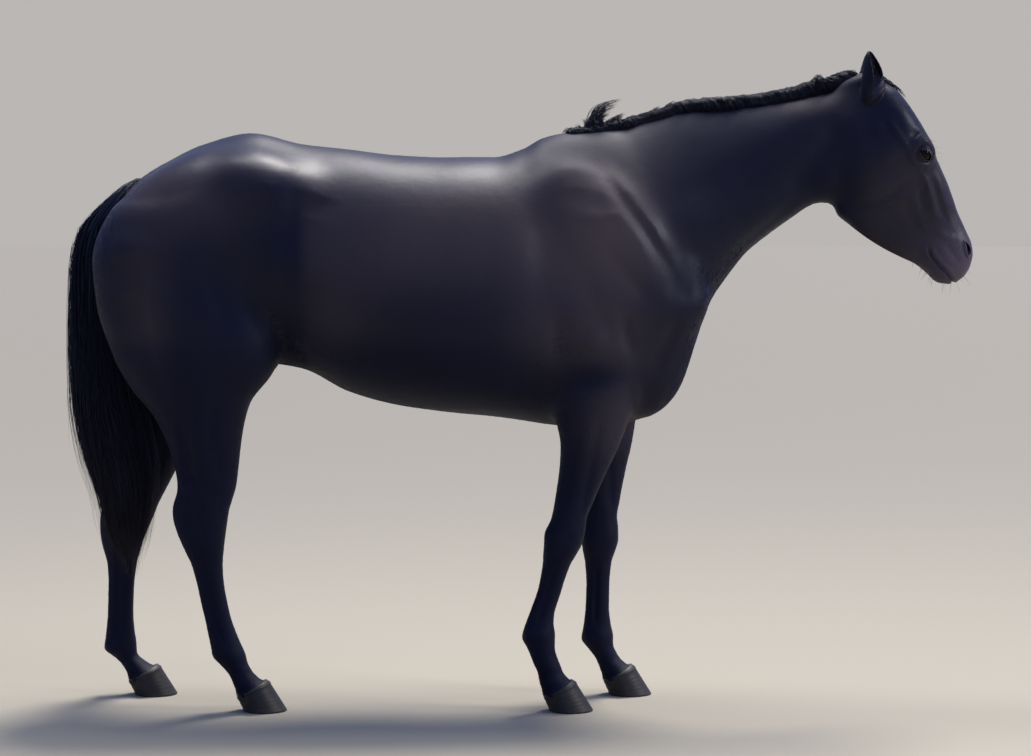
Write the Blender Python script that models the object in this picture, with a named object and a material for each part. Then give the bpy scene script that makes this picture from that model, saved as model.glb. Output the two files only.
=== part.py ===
"""A standing horse at life size, in metres. +X is towards the muzzle, +Z up, and its right side faces -Y.

The flesh is one field of signed distances: profile solids for the trunk, neck and head, upright limbs and
rounded muscles, melted together. It is meshed once and cut into nodes by thin gaps.
"""
import math

import bmesh
import bpy
import numpy as np
from mathutils import Matrix, Vector

GRID, HAIR_GRID = 0.010, 0.006
GAP = 0.0003
BODY_TRIANGLES, MANE_TRIANGLES, FORELOCK_TRIANGLES = 4400, 430, 90
RIGHT, LEFT = -1, 1

FLOOR = -0.020
CORONET_Z = 0.048
HOOF_LENGTH, HOOF_WIDTH, TOE_SLOPE, HOOF_AHEAD = 0.132, 0.120, 52, 0.020
CORONET_MIDDLE, CORONET_SLOPE = 0.062, 0.42
EYE_CENTRE, EYE_RADIUS = (1.078, 0.0690, 1.485), 0.0225
EAR_BASE, EAR_LENGTH, EAR_WIDTH, EAR_TILT = (0.938, 0.052, 1.618), 0.148, 0.079, 13
EAR_LEAN = {RIGHT: -3, LEFT: 4}
EAR_TURN, EAR_WALL = 32, 0.0035

# The cuts between the nodes: a point in side view and the pitch of the cut, or a height
HEAD_CUT, HEAD_CUT_PITCH = (0.868, 1.50), -11
NECK_CUT, NECK_CUT_PITCH = (0.360, 1.35), 33
THIGH_CUT, THIGH_CUT_PITCH = (-0.670, 0.915), -30
ELBOW_CUT_Z, FOREARM_INNER_Y = 0.81, 0.064
BELOW_KNEE, BELOW_HOCK = 0.035, 0.045

# x, top, widest level, bottom, half width, power of the upper half, power of the lower half
TRUNK = (
    (-1.112, 1.315, 1.19, 1.080, 0.050, 2.0, 2.0),
    (-1.088, 1.368, 1.20, 1.020, 0.100, 2.0, 2.0),
    (-1.045, 1.415, 1.21, 0.985, 0.160, 2.0, 2.0),
    (-0.959, 1.470, 1.23, 0.960, 0.215, 2.0, 2.0),
    (-0.866, 1.514, 1.25, 0.940, 0.245, 2.0, 2.0),
    (-0.735, 1.545, 1.26, 0.920, 0.262, 1.9, 2.0),
    (-0.604, 1.516, 1.20, 0.900, 0.266, 2.0, 2.0),
    (-0.470, 1.500, 1.13, 0.835, 0.280, 2.2, 2.1),
    (-0.340, 1.484, 1.09, 0.800, 0.298, 2.3, 2.2),
    (-0.200, 1.478, 1.07, 0.780, 0.304, 2.3, 2.2),
    (-0.077, 1.478, 1.07, 0.768, 0.294, 2.2, 2.2),
    (0.000, 1.500, 1.08, 0.757, 0.278, 1.95, 2.1),
    (0.055, 1.530, 1.08, 0.748, 0.262, 1.75, 2.1),
    (0.112, 1.542, 1.09, 0.742, 0.248, 1.65, 2.0),
    (0.224, 1.530, 1.09, 0.740, 0.230, 1.6, 2.0),
    (0.330, 1.450, 1.07, 0.765, 0.205, 1.8, 2.0),
    (0.410, 1.350, 1.06, 0.835, 0.170, 2.0, 2.0),
    (0.465, 1.250, 1.08, 0.960, 0.120, 2.0, 2.0),
    (0.495, 1.180, 1.09, 1.030, 0.070, 2.0, 2.0),
)
# Distance along the axis, crest, widest level, throat, half width, powers
NECK_ORIGIN, NECK_PITCH = (0.30, 1.30), 20.0
NECK = (
    (-0.160, 0.230, -0.02, -0.300, 0.190, 1.7, 2.0),
    (0.016, 0.252, -0.02, -0.290, 0.178, 1.65, 2.0),
    (0.080, 0.248, -0.03, -0.280, 0.165, 1.6, 2.0),
    (0.144, 0.246, -0.04, -0.258, 0.150, 1.6, 2.0),
    (0.209, 0.243, -0.04, -0.216, 0.132, 1.6, 2.0),
    (0.263, 0.231, -0.03, -0.184, 0.119, 1.6, 2.0),
    (0.330, 0.207, -0.02, -0.161, 0.107, 1.65, 2.0),
    (0.400, 0.191, 0.00, -0.141, 0.098, 1.7, 2.0),
    (0.480, 0.173, 0.01, -0.124, 0.091, 1.8, 2.0),
    (0.540, 0.161, 0.01, -0.140, 0.087, 2.0, 2.0),
    (0.640, 0.148, 0.01, -0.120, 0.080, 2.0, 2.0),
    (0.700, 0.135, 0.02, -0.080, 0.060, 2.0, 2.0),
)
# Distance down the face, face line, widest level, jaw line, half width, powers
HEAD_ORIGIN, HEAD_PITCH = (0.930, 1.700), -64.9
HEAD = (
    (-0.010, 0.015, -0.03, -0.080, 0.045, 2.2, 2.0),
    (0.042, 0.042, -0.02, -0.110, 0.064, 2.4, 2.0),
    (0.079, 0.062, -0.01, -0.125, 0.076, 2.5, 2.0),
    (0.146, 0.076, 0.01, -0.150, 0.088, 2.6, 2.0),
    (0.213, 0.083, 0.01, -0.186, 0.092, 2.6, 2.0),
    (0.275, 0.081, 0.00, -0.221, 0.084, 2.5, 2.0),
    (0.309, 0.081, -0.01, -0.230, 0.077, 2.4, 2.0),
    (0.348, 0.081, -0.01, -0.213, 0.069, 2.4, 2.1),
    (0.408, 0.077, -0.01, -0.181, 0.058, 2.3, 2.2),
    (0.452, 0.073, -0.01, -0.152, 0.052, 2.2, 2.2),
    (0.490, 0.073, -0.01, -0.122, 0.050, 2.2, 2.2),
    (0.527, 0.073, 0.00, -0.092, 0.051, 2.2, 2.2),
    (0.560, 0.066, 0.00, -0.076, 0.051, 2.2, 2.2),
    (0.590, 0.046, -0.005, -0.066, 0.045, 2.2, 2.2),
    (0.618, 0.014, -0.012, -0.040, 0.026, 2.0, 2.0),
)
# Height, reach forward, reach back, half width, power
FORELEG = (
    (0.980, 0.110, 0.100, 0.085, 2.0),
    (0.860, 0.112, 0.112, 0.084, 2.0),
    (0.780, 0.112, 0.090, 0.078, 2.0),
    (0.700, 0.100, 0.062, 0.068, 2.0),
    (0.620, 0.078, 0.052, 0.055, 2.1),
    (0.540, 0.059, 0.049, 0.046, 2.2),
    (0.485, 0.049, 0.048, 0.046, 2.4),
    (0.440, 0.052, 0.054, 0.050, 2.6),
    (0.400, 0.045, 0.050, 0.045, 2.5),
    (0.365, 0.035, 0.043, 0.033, 2.3),
    (0.300, 0.030, 0.038, 0.026, 2.3),
    (0.240, 0.030, 0.039, 0.026, 2.3),
    (0.190, 0.036, 0.043, 0.031, 2.1),
    (0.155, 0.043, 0.047, 0.037, 2.0),
    (0.125, 0.036, 0.038, 0.033, 2.0),
    (0.100, 0.037, 0.037, 0.036, 2.0),
    (0.080, 0.046, 0.044, 0.042, 2.0),
    (0.040, 0.052, 0.048, 0.046, 2.0),
)
HIND_LEG = (
    (1.330, 0.150, 0.150, 0.090, 2.0),
    (1.200, 0.200, 0.226, 0.122, 2.0),
    (1.060, 0.228, 0.240, 0.132, 2.0),
    (0.940, 0.210, 0.220, 0.122, 2.1),
    (0.850, 0.152, 0.180, 0.102, 2.1),
    (0.780, 0.120, 0.131, 0.086, 2.1),
    (0.700, 0.098, 0.103, 0.070, 2.0),
    (0.600, 0.080, 0.085, 0.053, 2.0),
    (0.540, 0.073, 0.082, 0.047, 2.1),
    (0.500, 0.069, 0.083, 0.046, 2.3),
    (0.460, 0.061, 0.076, 0.046, 2.4),
    (0.410, 0.049, 0.061, 0.041, 2.4),
    (0.360, 0.039, 0.046, 0.032, 2.3),
    (0.300, 0.034, 0.041, 0.028, 2.3),
    (0.240, 0.033, 0.041, 0.028, 2.3),
    (0.190, 0.038, 0.045, 0.033, 2.1),
    (0.155, 0.043, 0.048, 0.038, 2.0),
    (0.125, 0.036, 0.039, 0.034, 2.0),
    (0.100, 0.037, 0.038, 0.036, 2.0),
    (0.080, 0.046, 0.044, 0.042, 2.0),
    (0.040, 0.052, 0.048, 0.046, 2.0),
)
MANE_LENGTH, MANE_THICK, FORELOCK_THICK = 0.165, 0.014, 0.012
MANE_START_X, MANE_END_X = 0.135, 0.895
FORELOCK_REAR_X, FORELOCK_END_Z = 0.972, 1.572
# The crest of the neck, from the withers to the poll.
CREST_X = (0.100, 0.224, 0.449, 0.658, 0.761, 0.855, 0.920)
CREST_Z = (1.540, 1.562, 1.627, 1.647, 1.668, 1.702, 1.720)
# Height, front edge, rear edge, half width of the tail's skirt of hair
TAIL = (
    (1.422, -1.020, -1.050, 0.014),
    (1.400, -1.025, -1.092, 0.028),
    (1.362, -1.035, -1.138, 0.036),
    (1.312, -1.050, -1.188, 0.043),
    (1.270, -1.060, -1.213, 0.047),
    (1.170, -1.070, -1.230, 0.058),
    (1.005, -1.065, -1.234, 0.068),
    (0.814, -1.040, -1.230, 0.075),
    (0.700, -1.018, -1.212, 0.073),
    (0.619, -1.008, -1.190, 0.066),
    (0.540, -1.018, -1.163, 0.056),
    (0.455, -1.030, -1.146, 0.042),
    (0.400, -1.045, -1.120, 0.026),
    (0.364, -1.062, -1.092, 0.012),
)


def line(knots, values, x):
    """Smooth line through (knot, value) pairs that never overshoots them.

    A cubic on each span; the slope at a knot is the harmonic mean of its two chords, or zero at a turn.
    """
    knots = np.asarray(knots, float)
    values = np.asarray(values, float)
    span = np.diff(knots)
    chord = np.diff(values) / span
    slope = np.empty_like(values)
    slope[0], slope[-1] = chord[0], chord[-1]
    before, after = chord[:-1], chord[1:]
    same = before * after > 0
    both = np.where(same, before + after, 1)
    slope[1:-1] = np.where(same, 2 * before * after / both, 0)
    x = np.clip(x, knots[0], knots[-1])
    i = np.clip(np.searchsorted(knots, x) - 1, 0, len(knots) - 2)
    t = (x - knots[i]) / span[i]
    start = values[i] * (1 + 2 * t) * (1 - t) ** 2 + slope[i] * span[i] * t * (1 - t) ** 2
    end = values[i + 1] * t * t * (3 - 2 * t) - slope[i + 1] * span[i] * t * t * (1 - t)
    return start + end


def section_distance(side, rise, half_width, high, low, high_power, low_power):
    """Distance to a super-ellipse whose upper and lower halves have their own height and power."""
    up = rise > 0
    height = np.where(up, high, low)
    power = np.where(up, high_power, low_power)
    a = np.maximum(np.abs(side) / half_width, 1e-4)
    b = np.maximum(np.abs(rise) / height, 1e-4)
    radius = (a**power + b**power) ** (1 / power)
    steep = radius ** (1 - power) * np.hypot(a ** (power - 1) / half_width, b ** (power - 1) / height)
    return (radius - 1) / np.maximum(steep, 1e-6)


def soft_min(a, b, soft):
    mix = np.maximum(soft - np.abs(a - b), 0) / soft
    return np.minimum(a, b) - mix * mix * soft / 4


def soft_max(a, b, soft):
    return -soft_min(-a, -b, soft)


class Profile:
    """A solid of sections along a straight axis in the middle plane, pitch degrees up from +X."""

    def __init__(self, origin, pitch, rows, soft, cap):
        self.origin = origin
        self.axis = (math.cos(math.radians(pitch)), math.sin(math.radians(pitch)))
        rows = np.array(rows, float)
        self.soft, self.cap = soft, cap
        self.s = np.linspace(rows[0, 0], rows[-1, 0], 600)
        self.lines = [line(rows[:, 0], rows[:, k], self.s) for k in range(1, rows.shape[1])]
        ax, az = self.axis
        edges = np.concatenate([rows[:, 1], rows[:, 3]])
        along = np.concatenate([rows[:, 0], rows[:, 0]])
        x = origin[0] + along * ax - edges * az
        z = origin[1] + along * az + edges * ax
        width = rows[:, 4].max()
        self.box = ((x.min(), -width, z.min()), (x.max(), width, z.max()))

    def distance(self, x, y, z):
        dx, dz = x - self.origin[0], z - self.origin[1]
        ax, az = self.axis
        s = dx * ax + dz * az
        rise = dz * ax - dx * az
        high, mid, low, width, up_power, low_power = (np.interp(s, self.s, values) for values in self.lines)
        d = section_distance(y, rise - mid, width, high - mid, mid - low, up_power, low_power)
        d = soft_max(d, s - self.s[-1], self.cap)
        return soft_max(d, self.s[0] - s, self.cap)


class Limb:
    """A leg of level sections. joints are (height, x, y) of its centre line, rows its sections."""

    def __init__(self, joints, rows, soft, side):
        joints = np.array(sorted(joints), float)
        rows = np.array(sorted(rows), float)
        self.soft = soft
        self.z = np.linspace(rows[0, 0], rows[-1, 0], 600)
        self.x = line(joints[:, 0], joints[:, 1], self.z)
        self.y = line(joints[:, 0], joints[:, 2], self.z) * side
        self.sizes = [line(rows[:, 0], rows[:, k], self.z) for k in range(1, 5)]
        front, back, width = self.sizes[:3]
        self.box = (
            ((self.x - back).min(), (self.y - width).min(), rows[0, 0]),
            ((self.x + front).max(), (self.y + width).max(), rows[-1, 0]),
        )

    def distance(self, x, y, z):
        mid_x, mid_y = np.interp(z, self.z, self.x), np.interp(z, self.z, self.y)
        front, back, width, power = (np.interp(z, self.z, values) for values in self.sizes)
        d = section_distance(y - mid_y, x - mid_x, width, front, back, power, power)
        d = soft_max(d, z - self.z[-1], 0.04)
        return soft_max(d, self.z[0] - z, 0.004)


class Muscle:
    """An ellipsoid on both sides of the middle plane, turned by pitch in side view and by yaw from above."""

    def __init__(self, centre, radii, pitch=0, yaw=0, soft=0.03):
        self.centre, self.radii, self.soft = centre, radii, soft
        self.pitch, self.yaw = math.radians(pitch), math.radians(yaw)
        reach = max(radii)
        x, y, z = centre
        self.box = ((x - reach, -y - reach, z - reach), (x + reach, y + reach, z + reach))

    def distance(self, x, y, z):
        dx, dy, dz = x - self.centre[0], np.abs(y) - self.centre[1], z - self.centre[2]
        c, s = math.cos(self.yaw), math.sin(self.yaw)
        dx, dy = dx * c + dy * s, dy * c - dx * s
        c, s = math.cos(self.pitch), math.sin(self.pitch)
        dx, dz = dx * c + dz * s, dz * c - dx * s
        rx, ry, rz = self.radii
        near = np.sqrt((dx / rx) ** 2 + (dy / ry) ** 2 + (dz / rz) ** 2)
        steep = np.sqrt((dx / rx**2) ** 2 + (dy / ry**2) ** 2 + (dz / rz**2) ** 2)
        return near * (near - 1) / np.maximum(steep, 1e-6)


def foreleg_joints(elbow_x, knee, fetlock, foot_x):
    """Centre line of a foreleg from the arm to the ground; knee and fetlock are (x, height)."""
    return (
        (0.98, 0.215, 0.150),
        (0.86, elbow_x, 0.152),
        (knee[1], knee[0], 0.138),
        ((knee[1] + fetlock[1]) / 2, (knee[0] + fetlock[0]) / 2, 0.134),
        (fetlock[1], fetlock[0], 0.132),
        (CORONET_Z, foot_x, 0.130),
        (FLOOR + 0.04, foot_x + 0.018, 0.130),
    )


def hind_leg_joints(thigh_x, stifle_x, gaskin_x, low_gaskin_x, hock, cannon, fetlock, foot_x):
    """Centre line of a hind leg from the haunch to the ground; hock, cannon and fetlock are (x, height)."""
    return (
        (1.33, -0.93, 0.150),
        (1.10, thigh_x, 0.148),
        (0.95, stifle_x, 0.148),
        (0.78, gaskin_x, 0.143),
        (0.60, low_gaskin_x, 0.136),
        (hock[1], hock[0], 0.132),
        (cannon[1], cannon[0], 0.130),
        (fetlock[1], fetlock[0], 0.130),
        (CORONET_Z, foot_x, 0.130),
        (FLOOR + 0.04, foot_x + 0.018, 0.130),
    )


def set_down(rows, raised, fetlock_z):
    """The leg's sections with knee or hock raised by so much and the fetlock at its own height."""
    heights = [row[0] for row in rows]
    moved = np.interp(heights, [0.04, 0.08, 0.155, 0.30, 0.50, 0.80, 1.40], [
        FLOOR + 0.02, FLOOR + 0.07, fetlock_z, 0.30 + raised, 0.50 + raised, 0.80, 1.40
    ])
    return tuple((height,) + row[1:] for height, row in zip(moved, rows))


LEGS = {
    "fore_right": (
        foreleg_joints(0.190, (0.113, 0.452), (0.046, 0.188), 0.092),
        set_down(FORELEG, 0.012, 0.188),
        RIGHT,
    ),
    "fore_left": (
        foreleg_joints(0.205, (0.216, 0.428), (0.212, 0.142), 0.262),
        set_down(FORELEG, -0.014, 0.142),
        LEFT,
    ),
    "hind_right": (
        hind_leg_joints(-0.905, -0.880, -0.862, -0.848, (-0.862, 0.51), (-0.852, 0.40), (-0.792, 0.134), -0.737),
        set_down(HIND_LEG, 0.010, 0.134),
        RIGHT,
    ),
    "hind_left": (
        hind_leg_joints(-0.93, -0.950, -0.990, -1.050, (-1.094, 0.485), (-1.112, 0.385), (-1.120, 0.114), -1.064),
        set_down(HIND_LEG, -0.014, 0.114),
        LEFT,
    ),
}
MUSCLES = (
    Muscle((0.215, 0.150, 1.235), (0.240, 0.072, 0.125), pitch=-58, soft=0.07),
    Muscle((0.150, 0.168, 1.030), (0.150, 0.080, 0.115), pitch=35, soft=0.06),
    Muscle((0.385, 0.125, 1.070), (0.095, 0.080, 0.120), pitch=-60, soft=0.06),
    Muscle((0.355, 0.090, 0.930), (0.090, 0.085, 0.150), pitch=-15, soft=0.06),
    Muscle((-0.880, 0.130, 1.270), (0.260, 0.125, 0.190), pitch=25, soft=0.06),
    Muscle((-0.670, 0.185, 1.390), (0.100, 0.060, 0.060), pitch=-20, soft=0.10),
    Muscle((-1.020, 0.110, 1.160), (0.105, 0.090, 0.170), pitch=8, soft=0.06),
    Muscle((-0.755, 0.165, 0.970), (0.085, 0.075, 0.110), pitch=20, soft=0.06),
    Muscle((0.962, 0.036, 1.455), (0.125, 0.046, 0.105), pitch=-64.9, soft=0.03),
    Muscle((1.070, 0.060, 1.498), (0.046, 0.028, 0.030), pitch=-64.9, soft=0.03),
)
# Tufts of mane that stand up over the withers
MANE_WISPS = (
    Muscle((0.215, 0.003, 1.585), (0.072, 0.014, 0.026), pitch=42, soft=0.01),
    Muscle((0.255, 0.003, 1.590), (0.066, 0.014, 0.024), pitch=60, soft=0.01),
)
TRUNK_SOLID = Profile((0, 0), 0, TRUNK, 0.05, 0.04)
NECK_SOLID = Profile(NECK_ORIGIN, NECK_PITCH, NECK, 0.06, 0.04)
HEAD_SOLID = Profile(HEAD_ORIGIN, HEAD_PITCH, HEAD, 0.03, 0.02)
LEG_SOLIDS = tuple(Limb(joints, rows, 0.04, side) for joints, rows, side in LEGS.values())
FLESH = (TRUNK_SOLID, NECK_SOLID, HEAD_SOLID) + LEG_SOLIDS + MUSCLES


def grid_over(low, high, step):
    return [np.arange(low[k], high[k] + step, step) for k in range(3)]


def flesh_field(axes, step):
    """The melted distance to all the flesh at each point of the grid, 9 where nothing is near."""
    field = np.full([len(axis) for axis in axes], 9.0)
    for part in FLESH:
        reach = part.soft + 2 * step
        cut = []
        for k in range(3):
            first = np.searchsorted(axes[k], part.box[0][k] - reach)
            last = np.searchsorted(axes[k], part.box[1][k] + reach)
            cut.append(slice(first, last))
        x = axes[0][cut[0]][:, None, None]
        y = axes[1][cut[1]][None, :, None]
        z = axes[2][cut[2]][None, None, :]
        if min(x.size, y.size, z.size) == 0:
            continue
        block = field[tuple(cut)]
        field[tuple(cut)] = soft_min(block, part.distance(x, y, z), part.soft)
    return field


def surface_nets(axes, field):
    """(points, quads) of the zero surface: a quad round each grid edge it crosses, a point in each cell."""
    shape = np.array(field.shape) - 1
    cells, places, quads = [], [], []
    for axis in range(3):
        first, second = (axis + 1) % 3, (axis + 2) % 3
        low = field[tuple(slice(None, -1) if k == axis else slice(None) for k in range(3))]
        high = field[tuple(slice(1, None) if k == axis else slice(None) for k in range(3))]
        at = np.argwhere((low < 0) != (high < 0))
        a, b = low[tuple(at.T)], high[tuple(at.T)]
        place = at.astype(float)
        place[:, axis] += a / (a - b)
        ring = []
        for back_first, back_second in ((0, 0), (1, 0), (1, 1), (0, 1)):
            cell = at.copy()
            cell[:, first] -= back_first
            cell[:, second] -= back_second
            ring.append(np.ravel_multi_index(cell.T, shape))
        quad = np.stack(ring, axis=1)
        quads.append(np.where((a < 0)[:, None], quad, quad[:, ::-1]))
        cells += ring
        places += [place] * 4
    used, index = np.unique(np.concatenate(cells), return_inverse=True)
    places = np.concatenate(places)
    count = np.bincount(index)
    points = np.stack([np.bincount(index, places[:, k]) / count for k in range(3)], axis=1)
    step = axes[0][1] - axes[0][0]
    start = np.array([axis[0] for axis in axes])
    return points * step + start, np.searchsorted(used, np.concatenate(quads))


def new_object(name, points, faces):
    mesh = bpy.data.meshes.new(name)
    mesh.from_pydata([tuple(p) for p in points], [], [tuple(int(i) for i in face) for face in faces])
    mesh.update()
    obj = bpy.data.objects.new(name, mesh)
    bpy.context.scene.collection.objects.link(obj)
    return obj


def applied(obj):
    """Replaces the object's mesh by what its modifiers make of it."""
    bpy.context.view_layer.update()
    graph = bpy.context.evaluated_depsgraph_get()
    mesh = bpy.data.meshes.new_from_object(obj.evaluated_get(graph))
    obj.modifiers.clear()
    obj.data = mesh
    return obj


def removed(obj):
    bpy.data.objects.remove(obj, do_unlink=True)


def copied(obj, name):
    other = bpy.data.objects.new(name, obj.data.copy())
    bpy.context.scene.collection.objects.link(other)
    return other


def boolean(obj, cutter, operation):
    """Cuts or joins at once. Flat triangles on both sides keep the solver exact."""
    triangulated(obj)
    triangulated(cutter)
    modifier = obj.modifiers.new(operation.lower(), "BOOLEAN")
    modifier.operation = operation
    modifier.object = cutter
    modifier.solver = "EXACT"
    return applied(obj)


def triangulated(obj):
    mesh = bmesh.new()
    mesh.from_mesh(obj.data)
    bmesh.ops.dissolve_degenerate(mesh, dist=1e-6, edges=mesh.edges)
    bmesh.ops.triangulate(mesh, faces=mesh.faces)
    mesh.to_mesh(obj.data)
    mesh.free()
    return obj


def reduced(obj, triangles):
    """Smooths the grid's steps out, then collapses edges down to about this many triangles."""
    triangulated(obj)
    smooth = obj.modifiers.new("smooth", "SMOOTH")
    smooth.factor, smooth.iterations = 0.5, 2
    collapse = obj.modifiers.new("collapse", "DECIMATE")
    collapse.ratio = min(1.0, triangles / len(obj.data.polygons))
    return applied(obj)


def inflated(obj, amount):
    other = copied(obj, "inflated")
    push = other.modifiers.new("push", "DISPLACE")
    push.strength, push.mid_level = amount, 0.0
    return applied(other)


def block(corner_low, corner_high, origin, pitch, grow):
    """A box given in the frame of a point in side view and a turn in degrees, its sides moved out by grow."""
    low = np.array(corner_low) - grow
    high = np.array(corner_high) + grow
    points = [[(low, high)[(i >> k) & 1][k] for k in range(3)] for i in range(8)]
    faces = ((0, 2, 3, 1), (4, 5, 7, 6), (0, 1, 5, 4), (2, 6, 7, 3), (0, 4, 6, 2), (1, 3, 7, 5))
    turn = Matrix.Translation((origin[0], 0, origin[1])) @ Matrix.Rotation(-math.radians(pitch), 4, "Y")
    return new_object("block", [turn @ Vector(p) for p in points], faces)


def cut_off(rest, name, corner_low, corner_high, origin=(0, 0), pitch=0):
    """Moves what lies in the box from rest into a node of its own, a gap away."""
    node = copied(rest, name)
    box = block(corner_low, corner_high, origin, pitch, 0)
    boolean(node, box, "INTERSECT")
    removed(box)
    box = block(corner_low, corner_high, origin, pitch, GAP)
    boolean(rest, box, "DIFFERENCE")
    removed(box)
    return node


def ring_loft(name, rings):
    """A closed body over equal rings of points, its ends closed by flat faces."""
    rings = np.array(rings)
    count, around = rings.shape[:2]
    faces = [tuple(range(around))[::-1], tuple(range((count - 1) * around, count * around))]
    for i in range(count - 1):
        for j in range(around):
            k = (j + 1) % around
            faces.append((i * around + j, i * around + k, (i + 1) * around + k, (i + 1) * around + j))
    return new_object(name, rings.reshape(-1, 3), faces)


def hoof(name, middle_x, y):
    """A hoof on a flat sole: its wall slopes most at the toe and ends at the plane of the coronet."""
    around, levels = 20, 4
    rings = np.zeros((levels, around, 3))
    for j in range(around):
        angle = 2 * math.pi * j / around
        forward, aside = math.cos(angle), math.sin(angle)
        sole_x = HOOF_AHEAD + forward * HOOF_LENGTH * (0.50 if forward > 0 else 0.42)
        lean = 1 / math.tan(math.radians(TOE_SLOPE)) * (0.55 + 0.25 * forward)
        top = (CORONET_MIDDLE + CORONET_SLOPE * sole_x) / (1 + CORONET_SLOPE * lean)
        pinch = 1 - 0.16 * max(0, -forward) ** 2
        for level in range(levels):
            t = level / (levels - 1)
            sole_y = aside * HOOF_WIDTH / 2 * pinch * (1 - 0.13 * t)
            rings[level, j] = (middle_x + sole_x - lean * top * t, y + sole_y, FLOOR + top * t)
    return ring_loft(name, rings)


def eye(name, side, grow=0.0):
    mesh = bpy.data.meshes.new(name)
    made = bmesh.new()
    place = Matrix.Translation((EYE_CENTRE[0], EYE_CENTRE[1] * side, EYE_CENTRE[2]))
    turn = Matrix.Rotation(math.radians(90), 4, "X")
    bmesh.ops.create_uvsphere(made, u_segments=14, v_segments=8, radius=EYE_RADIUS + grow, matrix=place @ turn)
    made.to_mesh(mesh)
    made.free()
    obj = bpy.data.objects.new(name, mesh)
    bpy.context.scene.collection.objects.link(obj)
    return obj


def ear(name, side):
    """A cupped ear: crescent rings up its length, their open side turned forward and a little out."""
    around, levels = 14, 9
    rings = []
    for level in range(levels):
        t = level / (levels - 1)
        width = EAR_WIDTH / 2 * (math.sin(math.pi * (0.18 + 0.80 * t)) ** 0.8 * (1 - 0.25 * t)) + 0.0015
        depth = width * 0.95
        wall = EAR_WALL + 0.004 * (1 - t)
        curve = 0.012 * math.sin(math.pi * t)
        ring = []
        half = around // 2
        for j in range(around):
            if j < half:
                angle = math.radians(-118 + 236 * j / (half - 1))
                reach, back = width, depth
            else:
                angle = math.radians(112 - 224 * (j - half) / (half - 1))
                reach, back = max(width - wall, 0.0006), max(depth - wall * 1.3, 0.0004)
            if j >= half and t < 0.2:
                back *= t / 0.2
            ring.append((-back * math.cos(angle) + curve, reach * math.sin(angle), t * EAR_LENGTH))
        rings.append(ring)
    obj = ring_loft(name, rings)
    turn = Matrix.Rotation(math.radians(EAR_TURN * side), 4, "Z")
    lean = Matrix.Rotation(math.radians(EAR_LEAN[side]), 4, "Y")
    tilt = Matrix.Rotation(math.radians(-EAR_TILT * side), 4, "X")
    place = Matrix.Translation((EAR_BASE[0], EAR_BASE[1] * side, EAR_BASE[2]))
    obj.data.transform(place @ tilt @ lean @ turn)
    return obj


def tail_body():
    """The dock and its skirt of hair, oval at each level."""
    rows = np.array(sorted(TAIL))
    heights = np.linspace(rows[0, 0], rows[-1, 0], 18)
    front, back, width = (line(rows[:, 0], rows[:, k], heights) for k in (1, 2, 3))
    around = 14
    rings = []
    for z, x0, x1, w in zip(heights, front, back, width):
        angles = [2 * math.pi * j / around for j in range(around)]
        rings.append([((x0 + x1) / 2 + (x0 - x1) / 2 * math.cos(a), w * math.sin(a), z) for a in angles])
    return ring_loft("tail", rings)


def hair_over(name, low, high, keep, thick, extra=()):
    """A slab of hair over the flesh inside a box: as far as thick from it, and where keep is below zero."""
    axes = grid_over(low, high, HAIR_GRID)
    x, y, z = np.meshgrid(*axes, indexing="ij")
    field = soft_max(flesh_field(axes, HAIR_GRID) - thick, keep(x, y, z), 0.008)
    for part in extra:
        field = soft_min(field, part.distance(x, y, z), 0.012)
    edge = np.ones_like(field, bool)
    edge[1:-1, 1:-1, 1:-1] = False
    field[edge] = 9.0
    points, quads = surface_nets(axes, field)
    return new_object(name, points, quads)


def mane_keep(x, y, z):
    """Below zero from the crest down the left side, between the withers and the poll."""
    crest = np.interp(x, CREST_X, CREST_Z)
    fall = MANE_LENGTH * np.clip((x - 0.04) / 0.24, 0.35, 1)
    below = 0.8 * (crest - z) + 0.5 * y - fall
    ends = np.maximum(MANE_START_X - x, x - MANE_END_X)
    return np.maximum(np.maximum(below, -0.012 - y), ends)


def forelock_keep(x, y, z):
    """Below zero over the top of the forehead, between the ears."""
    width = np.abs(y) - 0.030 * np.clip((z - 1.560) / 0.07, 0.15, 1)
    ends = np.maximum(FORELOCK_REAR_X - x, FORELOCK_END_Z - z)
    return np.maximum(width, ends)


def oldest_first(objects):
    return sorted(objects, key=lambda obj: obj.name)


for old in oldest_first(bpy.data.objects):
    bpy.data.objects.remove(old, do_unlink=True)

low = np.min([part.box[0] for part in FLESH], axis=0) - 0.04
high = np.max([part.box[1] for part in FLESH], axis=0) + 0.04
axes = grid_over(low, high, GRID)
body = new_object("trunk", *surface_nets(axes, flesh_field(axes, GRID)))
reduced(body, BODY_TRIANGLES)
shell = inflated(body, GAP * 1.4)

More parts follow.
